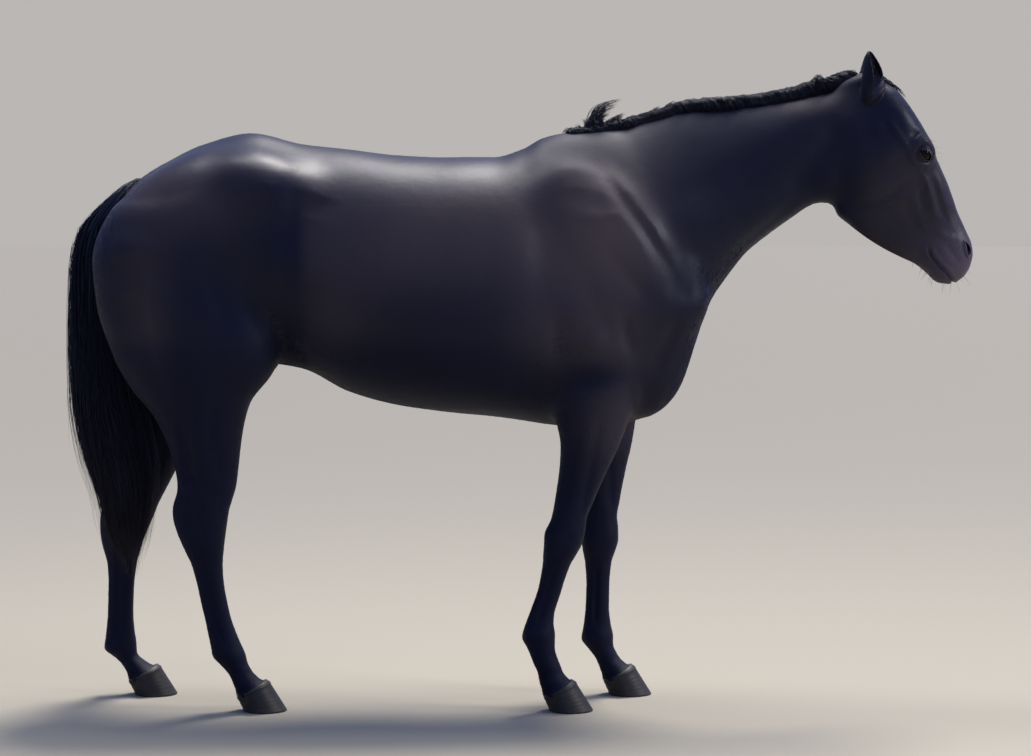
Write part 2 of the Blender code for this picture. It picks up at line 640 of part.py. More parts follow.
nodes = {}
nodes["head"] = cut_off(body, "head", (0, -1, -1.5), (1, 1, 1), HEAD_CUT, HEAD_CUT_PITCH)
nodes["neck"] = cut_off(body, "neck", (0, -1, -1.5), (1, 1, 1), NECK_CUT, NECK_CUT_PITCH)
for name, (joints, rows, side) in LEGS.items():
    fore = name.startswith("fore")
    lower, upper = "lower_leg_" + name, "upper_leg_" + name
    inner = FOREARM_INNER_Y if fore else GAP / 2
    y_low, y_high = (inner, 0.5) if side == LEFT else (-0.5, -inner)
    foot_x = joints[-1][1] - 0.004
    coronet = (foot_x, FLOOR + CORONET_MIDDLE + GAP)
    slope = math.degrees(math.atan(CORONET_SLOPE))
    removed(cut_off(body, "inside of the hoof", (-0.3, y_low, -0.4), (0.3, y_high, 0), coronet, slope))
    cut_z = joints[2][0] - BELOW_KNEE if fore else joints[5][0] - BELOW_HOCK
    x_low, x_high = (-0.3, 0.6) if fore else (-1.5, -0.5)
    nodes[lower] = cut_off(body, lower, (x_low, y_low, -0.1), (x_high, y_high, cut_z))
    if fore:
        nodes[upper] = cut_off(body, upper, (0.02, y_low, -0.1), (0.42, y_high, ELBOW_CUT_Z))
    else:
        nodes[upper] = cut_off(body, upper, (-1, y_low, -1), (0.45, y_high, 0), THIGH_CUT, THIGH_CUT_PITCH)
    nodes["hoof_" + name] = hoof("hoof_" + name, foot_x, joints[-1][2] * side)
nodes["trunk"] = body

for name, side in (("right", RIGHT), ("left", LEFT)):
    socket = eye("socket", side, GAP)
    boolean(nodes["head"], socket, "DIFFERENCE")
    removed(socket)
    nodes["eye_" + name] = eye("eye_" + name, side)
    nodes["ear_" + name] = ear("ear_" + name, side)
    boolean(nodes["ear_" + name], shell, "DIFFERENCE")

nodes["tail"] = tail_body()
nodes["mane"] = hair_over("mane", (0.10, -0.05, 1.35), (0.93, 0.26, 1.78), mane_keep, MANE_THICK, MANE_WISPS)
nodes["forelock"] = hair_over("forelock", (0.93, -0.05, 1.50), (1.10, 0.05, 1.76), forelock_keep, FORELOCK_THICK)
reduced(nodes["mane"], MANE_TRIANGLES)
reduced(nodes["forelock"], FORELOCK_TRIANGLES)
for name in ("tail", "mane", "forelock"):
    boolean(nodes[name], shell, "DIFFERENCE")
removed(shell)

COLOURS = {
    "hoof": (0.035, 0.032, 0.030),
    "eye": (0.012, 0.008, 0.006),
    "tail": (0.010, 0.008, 0.008),
    "mane": (0.010, 0.008, 0.008),
    "forelock": (0.010, 0.008, 0.008),
}
for name, obj in nodes.items():
    obj.name = name
    triangulated(obj)
    material = bpy.data.materials.new(name)
    material.use_nodes = True
    shader = next(node for node in material.node_tree.nodes if node.type == "BSDF_PRINCIPLED")
    colour = COLOURS.get(name.split("_")[0], (0.022, 0.016, 0.014))
    shader.inputs["Base Color"].default_value = colour + (1.0,)
    shader.inputs["Roughness"].default_value = 0.1 if name.startswith("eye") else 0.55
    obj.data.materials.clear()
    obj.data.materials.append(material)

corners = np.array([v.co for obj in nodes.values() for v in obj.data.vertices])
middle = (corners.min(axis=0) + corners.max(axis=0)) / 2
shift = Matrix.Translation((-middle[0], -middle[1], -corners[:, 2].min()))
for obj in nodes.values():
    obj.data.transform(shift)
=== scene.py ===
"""Dresses a standing seal-brown horse: one skin with its head's features, eyes, hooves, long and short hair.

Shapes are worked out in the horse's own frame (+X to the muzzle, +Z up, right side towards -Y) and then
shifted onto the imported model, which the right eye's place gives.
"""
import math

import bmesh
import bpy
import numpy as np
from mathutils import Matrix, Vector
from mathutils.bvhtree import BVHTree


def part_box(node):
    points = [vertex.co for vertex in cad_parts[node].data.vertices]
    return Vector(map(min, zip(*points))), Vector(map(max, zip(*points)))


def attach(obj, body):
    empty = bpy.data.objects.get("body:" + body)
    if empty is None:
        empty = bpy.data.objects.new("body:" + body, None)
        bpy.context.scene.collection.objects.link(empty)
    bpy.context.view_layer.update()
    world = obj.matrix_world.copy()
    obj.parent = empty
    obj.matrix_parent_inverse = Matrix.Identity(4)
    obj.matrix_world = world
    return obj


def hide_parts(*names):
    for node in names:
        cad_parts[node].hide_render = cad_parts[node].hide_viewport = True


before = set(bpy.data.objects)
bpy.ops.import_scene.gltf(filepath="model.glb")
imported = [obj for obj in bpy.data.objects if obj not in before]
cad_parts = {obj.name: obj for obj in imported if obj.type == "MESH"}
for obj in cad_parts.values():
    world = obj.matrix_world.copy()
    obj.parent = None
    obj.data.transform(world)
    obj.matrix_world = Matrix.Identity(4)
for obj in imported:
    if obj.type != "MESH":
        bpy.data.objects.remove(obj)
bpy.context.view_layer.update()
RNG = np.random.default_rng(7)
RIGHT, LEFT = -1, 1

# Sizes in metres, slopes in degrees. Names ending in X and Z are places in side view.
COAT_DEPTH = 0.002
GRID = 0.0135
THROAT_X, BREAST_Z, LEG_TOP = 0.86, 1.1, 0.80
FLOOR = -0.020
CORONET_Z, CORONET_MIDDLE, CORONET_SLOPE = 0.048, 0.062, 0.42
HOOF_LENGTH, HOOF_WIDTH, TOE_SLOPE, HOOF_AHEAD = 0.132, 0.120, 52, 0.020
EYE_CENTRE, EYE_RADIUS = (1.078, 0.0690, 1.485), 0.0225
EAR_BASE, EAR_LENGTH, EAR_WIDTH, EAR_TILT = (0.938, 0.052, 1.618), 0.148, 0.079, 13
EAR_LEAN, EAR_TURN = {RIGHT: -3, LEFT: 4}, 32
eye_low, eye_high = (np.array(corner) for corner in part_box("eye_right"))
SHIFT = (eye_low + eye_high) / 2 - np.array([EYE_CENTRE[0], -EYE_CENTRE[1], EYE_CENTRE[2]])

# x, top, widest level, bottom, half width, power of the upper half, power of the lower half
TRUNK = (
    (-1.112, 1.315, 1.19, 1.080, 0.050, 2.0, 2.0),
    (-1.088, 1.368, 1.20, 1.020, 0.100, 2.0, 2.0),
    (-1.045, 1.415, 1.21, 0.985, 0.160, 2.0, 2.0),
    (-0.959, 1.470, 1.23, 0.960, 0.215, 2.0, 2.0),
    (-0.866, 1.514, 1.25, 0.940, 0.245, 2.0, 2.0),
    (-0.735, 1.545, 1.26, 0.920, 0.262, 1.9, 2.0),
    (-0.604, 1.516, 1.20, 0.900, 0.266, 2.0, 2.0),
    (-0.470, 1.500, 1.13, 0.835, 0.280, 2.2, 2.1),
    (-0.340, 1.484, 1.09, 0.800, 0.298, 2.3, 2.2),
    (-0.200, 1.478, 1.07, 0.780, 0.304, 2.3, 2.2),
    (-0.077, 1.478, 1.07, 0.768, 0.294, 2.2, 2.2),
    (0.000, 1.500, 1.08, 0.757, 0.278, 1.95, 2.1),
    (0.055, 1.530, 1.08, 0.748, 0.262, 1.75, 2.1),
    (0.112, 1.542, 1.09, 0.742, 0.248, 1.65, 2.0),
    (0.224, 1.530, 1.09, 0.740, 0.230, 1.6, 2.0),
    (0.330, 1.450, 1.07, 0.765, 0.205, 1.8, 2.0),
    (0.410, 1.350, 1.06, 0.835, 0.170, 2.0, 2.0),
    (0.465, 1.250, 1.08, 0.960, 0.120, 2.0, 2.0),
    (0.495, 1.180, 1.09, 1.030, 0.070, 2.0, 2.0),
)
# Distance along the axis, crest, widest level, throat, half width, powers
NECK_ORIGIN, NECK_PITCH = (0.30, 1.30), 20.0
NECK = (
    (-0.160, 0.230, -0.02, -0.300, 0.190, 1.7, 2.0),
    (0.016, 0.252, -0.02, -0.290, 0.178, 1.65, 2.0),
    (0.080, 0.248, -0.03, -0.280, 0.165, 1.6, 2.0),
    (0.144, 0.246, -0.04, -0.258, 0.150, 1.6, 2.0),
    (0.209, 0.243, -0.04, -0.216, 0.132, 1.6, 2.0),
    (0.263, 0.231, -0.03, -0.184, 0.119, 1.6, 2.0),
    (0.330, 0.207, -0.02, -0.161, 0.107, 1.65, 2.0),
    (0.400, 0.191, 0.00, -0.141, 0.098, 1.7, 2.0),
    (0.480, 0.173, 0.01, -0.124, 0.091, 1.8, 2.0),
    (0.540, 0.161, 0.01, -0.140, 0.087, 2.0, 2.0),
    (0.640, 0.148, 0.01, -0.120, 0.080, 2.0, 2.0),
    (0.700, 0.135, 0.02, -0.080, 0.060, 2.0, 2.0),
)
# Distance down the face, face line, widest level, jaw line, half width, powers
HEAD_ORIGIN, HEAD_PITCH = (0.930, 1.700), -64.9
HEAD = (
    (-0.010, 0.015, -0.03, -0.080, 0.045, 2.2, 2.0),
    (0.042, 0.042, -0.02, -0.110, 0.064, 2.4, 2.0),
    (0.079, 0.062, -0.01, -0.125, 0.076, 2.5, 2.0),
    (0.146, 0.076, 0.01, -0.150, 0.088, 2.6, 2.0),
    (0.213, 0.083, 0.01, -0.186, 0.092, 2.6, 2.0),
    (0.275, 0.081, 0.00, -0.221, 0.084, 2.5, 2.0),
    (0.309, 0.081, -0.01, -0.230, 0.077, 2.4, 2.0),
    (0.348, 0.081, -0.01, -0.213, 0.069, 2.4, 2.1),
    (0.408, 0.077, -0.01, -0.181, 0.058, 2.3, 2.2),
    (0.452, 0.073, -0.01, -0.152, 0.052, 2.2, 2.2),
    (0.490, 0.073, -0.01, -0.122, 0.050, 2.2, 2.2),
    (0.527, 0.073, 0.00, -0.092, 0.051, 2.2, 2.2),
    (0.560, 0.066, 0.00, -0.076, 0.051, 2.2, 2.2),
    (0.590, 0.046, -0.005, -0.066, 0.045, 2.2, 2.2),
    (0.618, 0.014, -0.012, -0.040, 0.026, 2.0, 2.0),
)
# Height, reach forward, reach back, half width, power
FORELEG = (
    (0.980, 0.110, 0.100, 0.085, 2.0),
    (0.860, 0.112, 0.112, 0.084, 2.0),
    (0.780, 0.112, 0.090, 0.078, 2.0),
    (0.700, 0.100, 0.062, 0.068, 2.0),
    (0.620, 0.078, 0.052, 0.055, 2.1),
    (0.540, 0.059, 0.049, 0.046, 2.2),
    (0.485, 0.049, 0.048, 0.046, 2.4),
    (0.440, 0.052, 0.054, 0.050, 2.6),
    (0.400, 0.045, 0.050, 0.045, 2.5),
    (0.365, 0.035, 0.043, 0.033, 2.3),
    (0.300, 0.030, 0.038, 0.026, 2.3),
    (0.240, 0.030, 0.039, 0.026, 2.3),
    (0.190, 0.036, 0.043, 0.031, 2.1),
    (0.155, 0.043, 0.047, 0.037, 2.0),
    (0.125, 0.036, 0.038, 0.033, 2.0),
    (0.100, 0.037, 0.037, 0.036, 2.0),
    (0.080, 0.046, 0.044, 0.042, 2.0),
    (0.040, 0.052, 0.048, 0.046, 2.0),
)
HIND_LEG = (
    (1.330, 0.150, 0.150, 0.090, 2.0),
    (1.200, 0.200, 0.226, 0.122, 2.0),
    (1.060, 0.228, 0.240, 0.132, 2.0),
    (0.940, 0.210, 0.220, 0.122, 2.1),
    (0.850, 0.152, 0.180, 0.102, 2.1),
    (0.780, 0.120, 0.131, 0.086, 2.1),
    (0.700, 0.098, 0.103, 0.070, 2.0),
    (0.600, 0.080, 0.085, 0.053, 2.0),
    (0.540, 0.073, 0.082, 0.047, 2.1),
    (0.500, 0.069, 0.083, 0.046, 2.3),
    (0.460, 0.061, 0.076, 0.046, 2.4),
    (0.410, 0.049, 0.061, 0.041, 2.4),
    (0.360, 0.039, 0.046, 0.032, 2.3),
    (0.300, 0.034, 0.041, 0.028, 2.3),
    (0.240, 0.033, 0.041, 0.028, 2.3),
    (0.190, 0.038, 0.045, 0.033, 2.1),
    (0.155, 0.043, 0.048, 0.038, 2.0),
    (0.125, 0.036, 0.039, 0.034, 2.0),
    (0.100, 0.037, 0.038, 0.036, 2.0),
    (0.080, 0.046, 0.044, 0.042, 2.0),
    (0.040, 0.052, 0.048, 0.046, 2.0),
)
# The mane's first hair, and the crest of the neck from the withers to the poll.
MANE_X = 0.130
CREST_X = (0.100, 0.224, 0.449, 0.658, 0.761, 0.855, 0.920)
CREST_Z = (1.540, 1.562, 1.627, 1.647, 1.668, 1.702, 1.720)
# Height, front edge, rear edge, half width of the tail's skirt of hair
TAIL = (
    (1.422, -1.020, -1.050, 0.014),
    (1.400, -1.025, -1.092, 0.028),
    (1.362, -1.035, -1.138, 0.036),
    (1.312, -1.050, -1.188, 0.043),
    (1.270, -1.060, -1.213, 0.047),
    (1.170, -1.070, -1.230, 0.058),
    (1.005, -1.065, -1.234, 0.068),
    (0.814, -1.040, -1.230, 0.075),
    (0.700, -1.018, -1.212, 0.073),
    (0.619, -1.008, -1.190, 0.066),
    (0.540, -1.018, -1.163, 0.056),
    (0.455, -1.030, -1.146, 0.042),
    (0.400, -1.045, -1.120, 0.026),
    (0.364, -1.062, -1.092, 0.012),
)


def line(knots, values, x):
    """Smooth line through (knot, value) pairs that never overshoots them.

    A cubic on each span; the slope at a knot is the harmonic mean of its two chords, or zero at a turn.
    """
    knots = np.asarray(knots, float)
    values = np.asarray(values, float)
    span = np.diff(knots)
    chord = np.diff(values) / span
    slope = np.empty_like(values)
    slope[0], slope[-1] = chord[0], chord[-1]
    before, after = chord[:-1], chord[1:]
    same = before * after > 0
    both = np.where(same, before + after, 1)
    slope[1:-1] = np.where(same, 2 * before * after / both, 0)
    x = np.clip(x, knots[0], knots[-1])
    i = np.clip(np.searchsorted(knots, x) - 1, 0, len(knots) - 2)
    t = (x - knots[i]) / span[i]
    start = values[i] * (1 + 2 * t) * (1 - t) ** 2 + slope[i] * span[i] * t * (1 - t) ** 2
    end = values[i + 1] * t * t * (3 - 2 * t) - slope[i + 1] * span[i] * t * t * (1 - t)
    return start + end


def section_distance(side, rise, half_width, high, low, high_power, low_power):
    """Distance to a super-ellipse whose upper and lower halves have their own height and power."""
    up = rise > 0
    height = np.where(up, high, low)
    power = np.where(up, high_power, low_power)
    a = np.maximum(np.abs(side) / half_width, 1e-4)
    b = np.maximum(np.abs(rise) / height, 1e-4)
    radius = (a**power + b**power) ** (1 / power)
    steep = radius ** (1 - power) * np.hypot(a ** (power - 1) / half_width, b ** (power - 1) / height)
    return (radius - 1) / np.maximum(steep, 1e-6)


def soft_min(a, b, soft):
    mix = np.maximum(soft - np.abs(a - b), 0) / soft
    return np.minimum(a, b) - mix * mix * soft / 4


def soft_max(a, b, soft):
    return -soft_min(-a, -b, soft)


class Profile:
    """A solid of sections along a straight axis in the middle plane, pitch degrees up from +X."""

    def __init__(self, origin, pitch, rows, soft, cap):
        self.origin = origin
        self.axis = (math.cos(math.radians(pitch)), math.sin(math.radians(pitch)))
        rows = np.array(rows, float)
        self.soft, self.cap = soft, cap
        self.s = np.linspace(rows[0, 0], rows[-1, 0], 600)
        self.lines = [line(rows[:, 0], rows[:, k], self.s) for k in range(1, rows.shape[1])]
        ax, az = self.axis
        edges = np.concatenate([rows[:, 1], rows[:, 3]])
        along = np.concatenate([rows[:, 0], rows[:, 0]])
        x = origin[0] + along * ax - edges * az
        z = origin[1] + along * az + edges * ax
        width = rows[:, 4].max()
        self.box = ((x.min(), -width, z.min()), (x.max(), width, z.max()))

    def distance(self, x, y, z):
        dx, dz = x - self.origin[0], z - self.origin[1]
        ax, az = self.axis
        s = dx * ax + dz * az
        rise = dz * ax - dx * az
        high, mid, low, width, up_power, low_power = (np.interp(s, self.s, values) for values in self.lines)
        d = section_distance(y, rise - mid, width, high - mid, mid - low, up_power, low_power)
        d = soft_max(d, s - self.s[-1], self.cap)
        return soft_max(d, self.s[0] - s, self.cap)


class Limb:
    """A leg of level sections. joints are (height, x, y) of its centre line, rows its sections."""

    def __init__(self, joints, rows, soft, side):
        joints = np.array(sorted(joints), float)
        rows = np.array(sorted(rows), float)
        self.soft = soft
        self.z = np.linspace(rows[0, 0], rows[-1, 0], 600)
        self.x = line(joints[:, 0], joints[:, 1], self.z)
        self.y = line(joints[:, 0], joints[:, 2], self.z) * side
        self.sizes = [line(rows[:, 0], rows[:, k], self.z) for k in range(1, 5)]
        front, back, width = self.sizes[:3]
        self.box = (
            ((self.x - back).min(), (self.y - width).min(), rows[0, 0]),
            ((self.x + front).max(), (self.y + width).max(), rows[-1, 0]),
        )

    def distance(self, x, y, z):
        mid_x, mid_y = np.interp(z, self.z, self.x), np.interp(z, self.z, self.y)
        front, back, width, power = (np.interp(z, self.z, values) for values in self.sizes)
        d = section_distance(y - mid_y, x - mid_x, width, front, back, power, power)
        d = soft_max(d, z - self.z[-1], 0.04)
        return soft_max(d, self.z[0] - z, 0.004)


class Muscle:
    """An ellipsoid on both sides of the middle plane, turned by pitch in side view and by yaw from above."""

    def __init__(self, centre, radii, pitch=0, yaw=0, soft=0.03):
        self.centre, self.radii, self.soft = centre, radii, soft
        self.pitch, self.yaw = math.radians(pitch), math.radians(yaw)
        reach = max(radii)
        x, y, z = centre
        self.box = ((x - reach, -y - reach, z - reach), (x + reach, y + reach, z + reach))

    def distance(self, x, y, z):
        dx, dy, dz = x - self.centre[0], np.abs(y) - self.centre[1], z - self.centre[2]
        c, s = math.cos(self.yaw), math.sin(self.yaw)
        dx, dy = dx * c + dy * s, dy * c - dx * s
        c, s = math.cos(self.pitch), math.sin(self.pitch)
        dx, dz = dx * c + dz * s, dz * c - dx * s
        rx, ry, rz = self.radii
        near = np.sqrt((dx / rx) ** 2 + (dy / ry) ** 2 + (dz / rz) ** 2)
        steep = np.sqrt((dx / rx**2) ** 2 + (dy / ry**2) ** 2 + (dz / rz**2) ** 2)
        return near * (near - 1) / np.maximum(steep, 1e-6)


def foreleg_joints(elbow_x, knee, fetlock, foot_x):
    """Centre line of a foreleg from the arm to the ground; knee and fetlock are (x, height)."""
    return (
        (0.98, 0.215, 0.150),
        (0.86, elbow_x, 0.152),
        (knee[1], knee[0], 0.138),
        ((knee[1] + fetlock[1]) / 2, (knee[0] + fetlock[0]) / 2, 0.134),
        (fetlock[1], fetlock[0], 0.132),
        (CORONET_Z, foot_x, 0.130),
        (FLOOR + 0.04, foot_x + 0.018, 0.130),
    )


def hind_leg_joints(thigh_to_gaskin, hock, cannon, fetlock, foot_x):
    """Centre line of a hind leg from the haunch to the ground; hock, cannon and fetlock are (x, height)."""
    thigh_x, stifle_x, gaskin_x, low_gaskin_x = thigh_to_gaskin
    return (
        (1.33, -0.93, 0.150),
        (1.10, thigh_x, 0.148),
        (0.95, stifle_x, 0.148),
        (0.78, gaskin_x, 0.143),
        (0.60, low_gaskin_x, 0.136),
        (hock[1], hock[0], 0.132),
        (cannon[1], cannon[0], 0.130),
        (fetlock[1], fetlock[0], 0.130),
        (CORONET_Z, foot_x, 0.130),
        (FLOOR + 0.04, foot_x + 0.018, 0.130),
    )


def set_down(rows, raised, fetlock_z):
    """The leg's sections with knee or hock raised by so much and the fetlock at its own height."""
    plain = (0.04, 0.08, 0.155, 0.30, 0.50, 0.80, 1.40)
    own = (FLOOR + 0.02, FLOOR + 0.07, fetlock_z, 0.30 + raised, 0.50 + raised, 0.80, 1.40)
    moved = np.interp([row[0] for row in rows], plain, own)
    return tuple((height,) + row[1:] for height, row in zip(moved, rows))


LEGS = {
    "fore_right": (
        foreleg_joints(0.190, (0.113, 0.452), (0.046, 0.188), 0.092),
        set_down(FORELEG, 0.012, 0.188),
        RIGHT,
    ),
    "fore_left": (
        foreleg_joints(0.205, (0.216, 0.428), (0.212, 0.142), 0.262),
        set_down(FORELEG, -0.014, 0.142),
        LEFT,
    ),
    "hind_right": (
        hind_leg_joints(
            (-0.905, -0.880, -0.862, -0.848), (-0.862, 0.51), (-0.852, 0.40), (-0.792, 0.134), -0.737
        ),
        set_down(HIND_LEG, 0.010, 0.134),
        RIGHT,
    ),
    "hind_left": (
        hind_leg_joints(
            (-0.93, -0.950, -0.990, -1.050), (-1.094, 0.485), (-1.112, 0.385), (-1.120, 0.114), -1.064
        ),
        set_down(HIND_LEG, -0.014, 0.114),
        LEFT,
    ),
}
MUSCLES = (
    Muscle((0.215, 0.150, 1.235), (0.240, 0.072, 0.125), pitch=-58, soft=0.07),
    Muscle((0.150, 0.168, 1.030), (0.150, 0.080, 0.115), pitch=35, soft=0.06),
    Muscle((0.385, 0.125, 1.070), (0.095, 0.080, 0.120), pitch=-60, soft=0.06),
    Muscle((0.355, 0.090, 0.930), (0.090, 0.085, 0.150), pitch=-15, soft=0.06),
    Muscle((-0.880, 0.130, 1.270), (0.260, 0.125, 0.190), pitch=25, soft=0.06),
    Muscle((-0.670, 0.185, 1.390), (0.100, 0.060, 0.060), pitch=-20, soft=0.10),
    Muscle((-1.020, 0.110, 1.160), (0.105, 0.090, 0.170), pitch=8, soft=0.06),
    Muscle((-0.755, 0.165, 0.970), (0.085, 0.075, 0.110), pitch=20, soft=0.06),
    Muscle((0.962, 0.036, 1.455), (0.125, 0.046, 0.105), pitch=HEAD_PITCH, soft=0.03),
    Muscle((1.070, 0.060, 1.498), (0.046, 0.028, 0.030), pitch=HEAD_PITCH, soft=0.03),
)
BARREL_AND_HEAD = (
    Profile((0, 0), 0, TRUNK, soft=0.05, cap=0.04),
    Profile(NECK_ORIGIN, NECK_PITCH, NECK, soft=0.06, cap=0.04),
    Profile(HEAD_ORIGIN, HEAD_PITCH, HEAD, soft=0.03, cap=0.02),
)
LEG_SOLIDS = tuple(Limb(joints, rows, 0.04, side) for joints, rows, side in LEGS.values())
FLESH = BARREL_AND_HEAD + LEG_SOLIDS + MUSCLES


def surface_nets(axes, field):
    """(points, quads) of the zero surface: a quad round each grid edge it crosses, a point in each cell."""
    shape = np.array(field.shape) - 1
    cells, crossings, quads = [], [], []
    for axis in range(3):
        first, second = (axis + 1) % 3, (axis + 2) % 3
        low = field[tuple(slice(None, -1) if k == axis else slice(None) for k in range(3))]
        high = field[tuple(slice(1, None) if k == axis else slice(None) for k in range(3))]
        at = np.argwhere((low < 0) != (high < 0))
        a, b = low[tuple(at.T)], high[tuple(at.T)]
        crossing = at.astype(float)
        crossing[:, axis] += a / (a - b)
        ring = []
        for back_first, back_second in ((0, 0), (1, 0), (1, 1), (0, 1)):
            cell = at.copy()
            cell[:, first] -= back_first
            cell[:, second] -= back_second
            ring.append(np.ravel_multi_index(cell.T, shape))
        quad = np.stack(ring, axis=1)
        quads.append(np.where((a < 0)[:, None], quad, quad[:, ::-1]))
        cells += ring
        crossings += [crossing] * 4
    used, index = np.unique(np.concatenate(cells), return_inverse=True)
    crossings = np.concatenate(crossings)
    count = np.bincount(index)
    points = np.stack([np.bincount(index, crossings[:, k]) / count for k in range(3)], axis=1)
    step = axes[0][1] - axes[0][0]
    start = np.array([axis[0] for axis in axes])
    return points * step + start, np.searchsorted(used, np.concatenate(quads))


# The skin's forms. A stroke is a line in side view (x, z) on both flanks, its width and how far it
# stands out.
BODY_STROKES = (
    (((0.190, 1.458), (0.262, 1.365), (0.322, 1.282), (0.372, 1.205), (0.418, 1.125)), 0.0165, -0.0060),
    (((0.240, 1.435), (0.292, 1.365), (0.350, 1.285), (0.400, 1.200)), 0.0150, 0.0030),
    (((0.100, 1.425), (0.170, 1.420), (0.220, 1.400)), 0.034, -0.0050),
    (((0.380, 1.135), (0.455, 1.120)), 0.030, -0.0060),
    (((0.425, 1.205), (0.490, 1.180)), 0.026, 0.0040),
    (((0.105, 1.372), (0.170, 1.362), (0.225, 1.345)), 0.026, -0.0035),
    (((0.150, 1.318), (0.205, 1.310), (0.290, 1.330)), 0.014, 0.0035),
    (((0.262, 1.065), (0.275, 1.000), (0.288, 0.945)), 0.014, -0.0060),
    (((0.125, 0.900), (0.200, 0.882), (0.285, 0.892)), 0.030, -0.0040),
    (((0.090, 1.350), (0.050, 1.220), (0.055, 1.080), (0.100, 0.985)), 0.050, -0.0045),
    (((0.215, 1.235), (0.290, 1.150), (0.350, 1.085)), 0.022, -0.0035),
    (((0.150, 1.180), (0.205, 1.060), (0.245, 0.965)), 0.026, -0.0030),
    (((0.180, 1.015), (0.200, 0.975)), 0.045, 0.0060),
    (((0.090, 1.060), (0.095, 0.985), (0.110, 0.940)), 0.026, -0.0080),
    (((0.420, 1.060), (0.385, 0.980), (0.345, 0.900)), 0.020, -0.0060),
    (((0.300, 0.880), (0.308, 0.780)), 0.012, 0.0030),
    (((-0.565, 1.380), (-0.580, 1.320)), 0.055, -0.0080),
    (((-0.597, 1.430), (-0.608, 1.320), (-0.620, 1.200), (-0.636, 1.060), (-0.640, 0.985)), 0.024, -0.0050),
    (((-1.100, 1.240), (-1.030, 1.232), (-0.965, 1.245)), 0.034, 0.0080),
    (((-1.060, 1.120), (-1.020, 1.020), (-0.975, 0.940)), 0.050, -0.0110),
    (((-0.705, 1.120), (-0.680, 1.030), (-0.648, 0.955), (-0.600, 0.910)), 0.020, 0.0035),
    (((-0.670, 1.405), (-0.675, 1.385)), 0.030, 0.0050),
    (((-0.950, 1.370), (-1.000, 1.230), (-1.012, 1.080), (-0.985, 0.930), (-0.935, 0.810)), 0.017, -0.0060),
    (((-0.760, 1.420), (-0.850, 1.330), (-0.900, 1.220)), 0.030, -0.0030),
    (((-0.840, 1.240), (-0.815, 1.110), (-0.765, 0.990)), 0.026, -0.0035),
    (((-0.800, 0.860), (-0.835, 0.740), (-0.862, 0.650)), 0.013, -0.0035),
    (((0.780, 1.385), (0.700, 1.315), (0.620, 1.250), (0.530, 1.170)), 0.018, -0.0065),
    (((0.850, 1.505), (0.730, 1.390), (0.620, 1.310)), 0.022, 0.0025),
    (((0.860, 1.610), (0.700, 1.500), (0.550, 1.420), (0.390, 1.350)), 0.030, -0.0030),
    (((0.858, 1.600), (0.828, 1.515), (0.760, 1.430), (0.705, 1.355)), 0.036, -0.0120),
    (((0.846, 1.440), (0.866, 1.424)), 0.006, -0.0016),
)
# The same on the head, along it (down the face from the poll) and across it (towards the face line).
HEAD_STROKES = (
    (((0.298, 0.016), (0.329, 0.022), (0.388, 0.013), (0.430, 0.004)), 0.0062, 0.0050),
    (((0.334, -0.004), (0.366, -0.010), (0.410, -0.016)), 0.0085, -0.0036),
    (((0.315, 0.042), (0.357, 0.036), (0.410, 0.028), (0.450, 0.026)), 0.0090, -0.0036),
    (((0.306, -0.030), (0.322, -0.080), (0.322, -0.140), (0.308, -0.190)), 0.0120, -0.0046),
    (((0.355, -0.055), (0.410, -0.055), (0.455, -0.050)), 0.0160, -0.0024),
    (((0.188, 0.040), (0.212, 0.046)), 0.0150, -0.0060),
    (((0.286, 0.070), (0.258, 0.078), (0.232, 0.070), (0.222, 0.050)), 0.0085, 0.0042),
    (((0.282, 0.018), (0.262, 0.008), (0.236, 0.010)), 0.0070, 0.0020),
    (((0.236, 0.012), (0.190, 0.004), (0.130, -0.004)), 0.0080, 0.0040),
    (((0.120, -0.040), (0.165, -0.036)), 0.0120, 0.0030),
    (((0.185, -0.040), (0.245, -0.036)), 0.0420, 0.0040),
    (((0.300, 0.070), (0.360, 0.058), (0.440, 0.058), (0.500, 0.060)), 0.0070, 0.0018),
    (((0.300, 0.036), (0.330, 0.012), (0.352, -0.030), (0.348, -0.090), (0.334, -0.150)), 0.0032, 0.0020),
    (((0.318, 0.050), (0.372, 0.046), (0.430, 0.044), (0.480, 0.036)), 0.0028, 0.0016),
    (((0.352, -0.026), (0.398, -0.034), (0.452, -0.034)), 0.0026, 0.0014),
    (((0.498, -0.066), (0.520, -0.090)), 0.0120, -0.0036),
    (((0.545, -0.086), (0.575, -0.078)), 0.0130, 0.0034),
    (((0.462, -0.010), (0.492, 0.012), (0.506, 0.034)), 0.0100, 0.0026),
    (((0.500, 0.000), (0.540, 0.006), (0.575, 0.012)), 0.0090, -0.0020),
)
MOUTH = ((0.497, -0.046), (0.520, -0.048), (0.550, -0.040), (0.580, -0.029), (0.610, -0.022), (0.630, -0.021))
HEAD_AXIS = (math.cos(math.radians(HEAD_PITCH)), math.sin(math.radians(HEAD_PITCH)))


def along_head(points):
    """Distance down the face from the poll, and across it towards the face line."""
    dx, dz = points[:, 0] - HEAD_ORIGIN[0], points[:, 2] - HEAD_ORIGIN[1]
    return dx * HEAD_AXIS[0] + dz * HEAD_AXIS[1], dz * HEAD_AXIS[0] - dx * HEAD_AXIS[1]


def on_head(s, r, y):
    """The point so far down the face, across it and aside."""
    x = HEAD_ORIGIN[0] + s * HEAD_AXIS[0] - r * HEAD_AXIS[1]
    z = HEAD_ORIGIN[1] + s * HEAD_AXIS[1] + r * HEAD_AXIS[0]
    return np.array([x, y, z])


def of_head(points):
    """Which points belong to the head: ahead of the throat and over the breast."""
    return (points[:, 0] > THROAT_X) & (points[:, 2] > BREAST_Z)


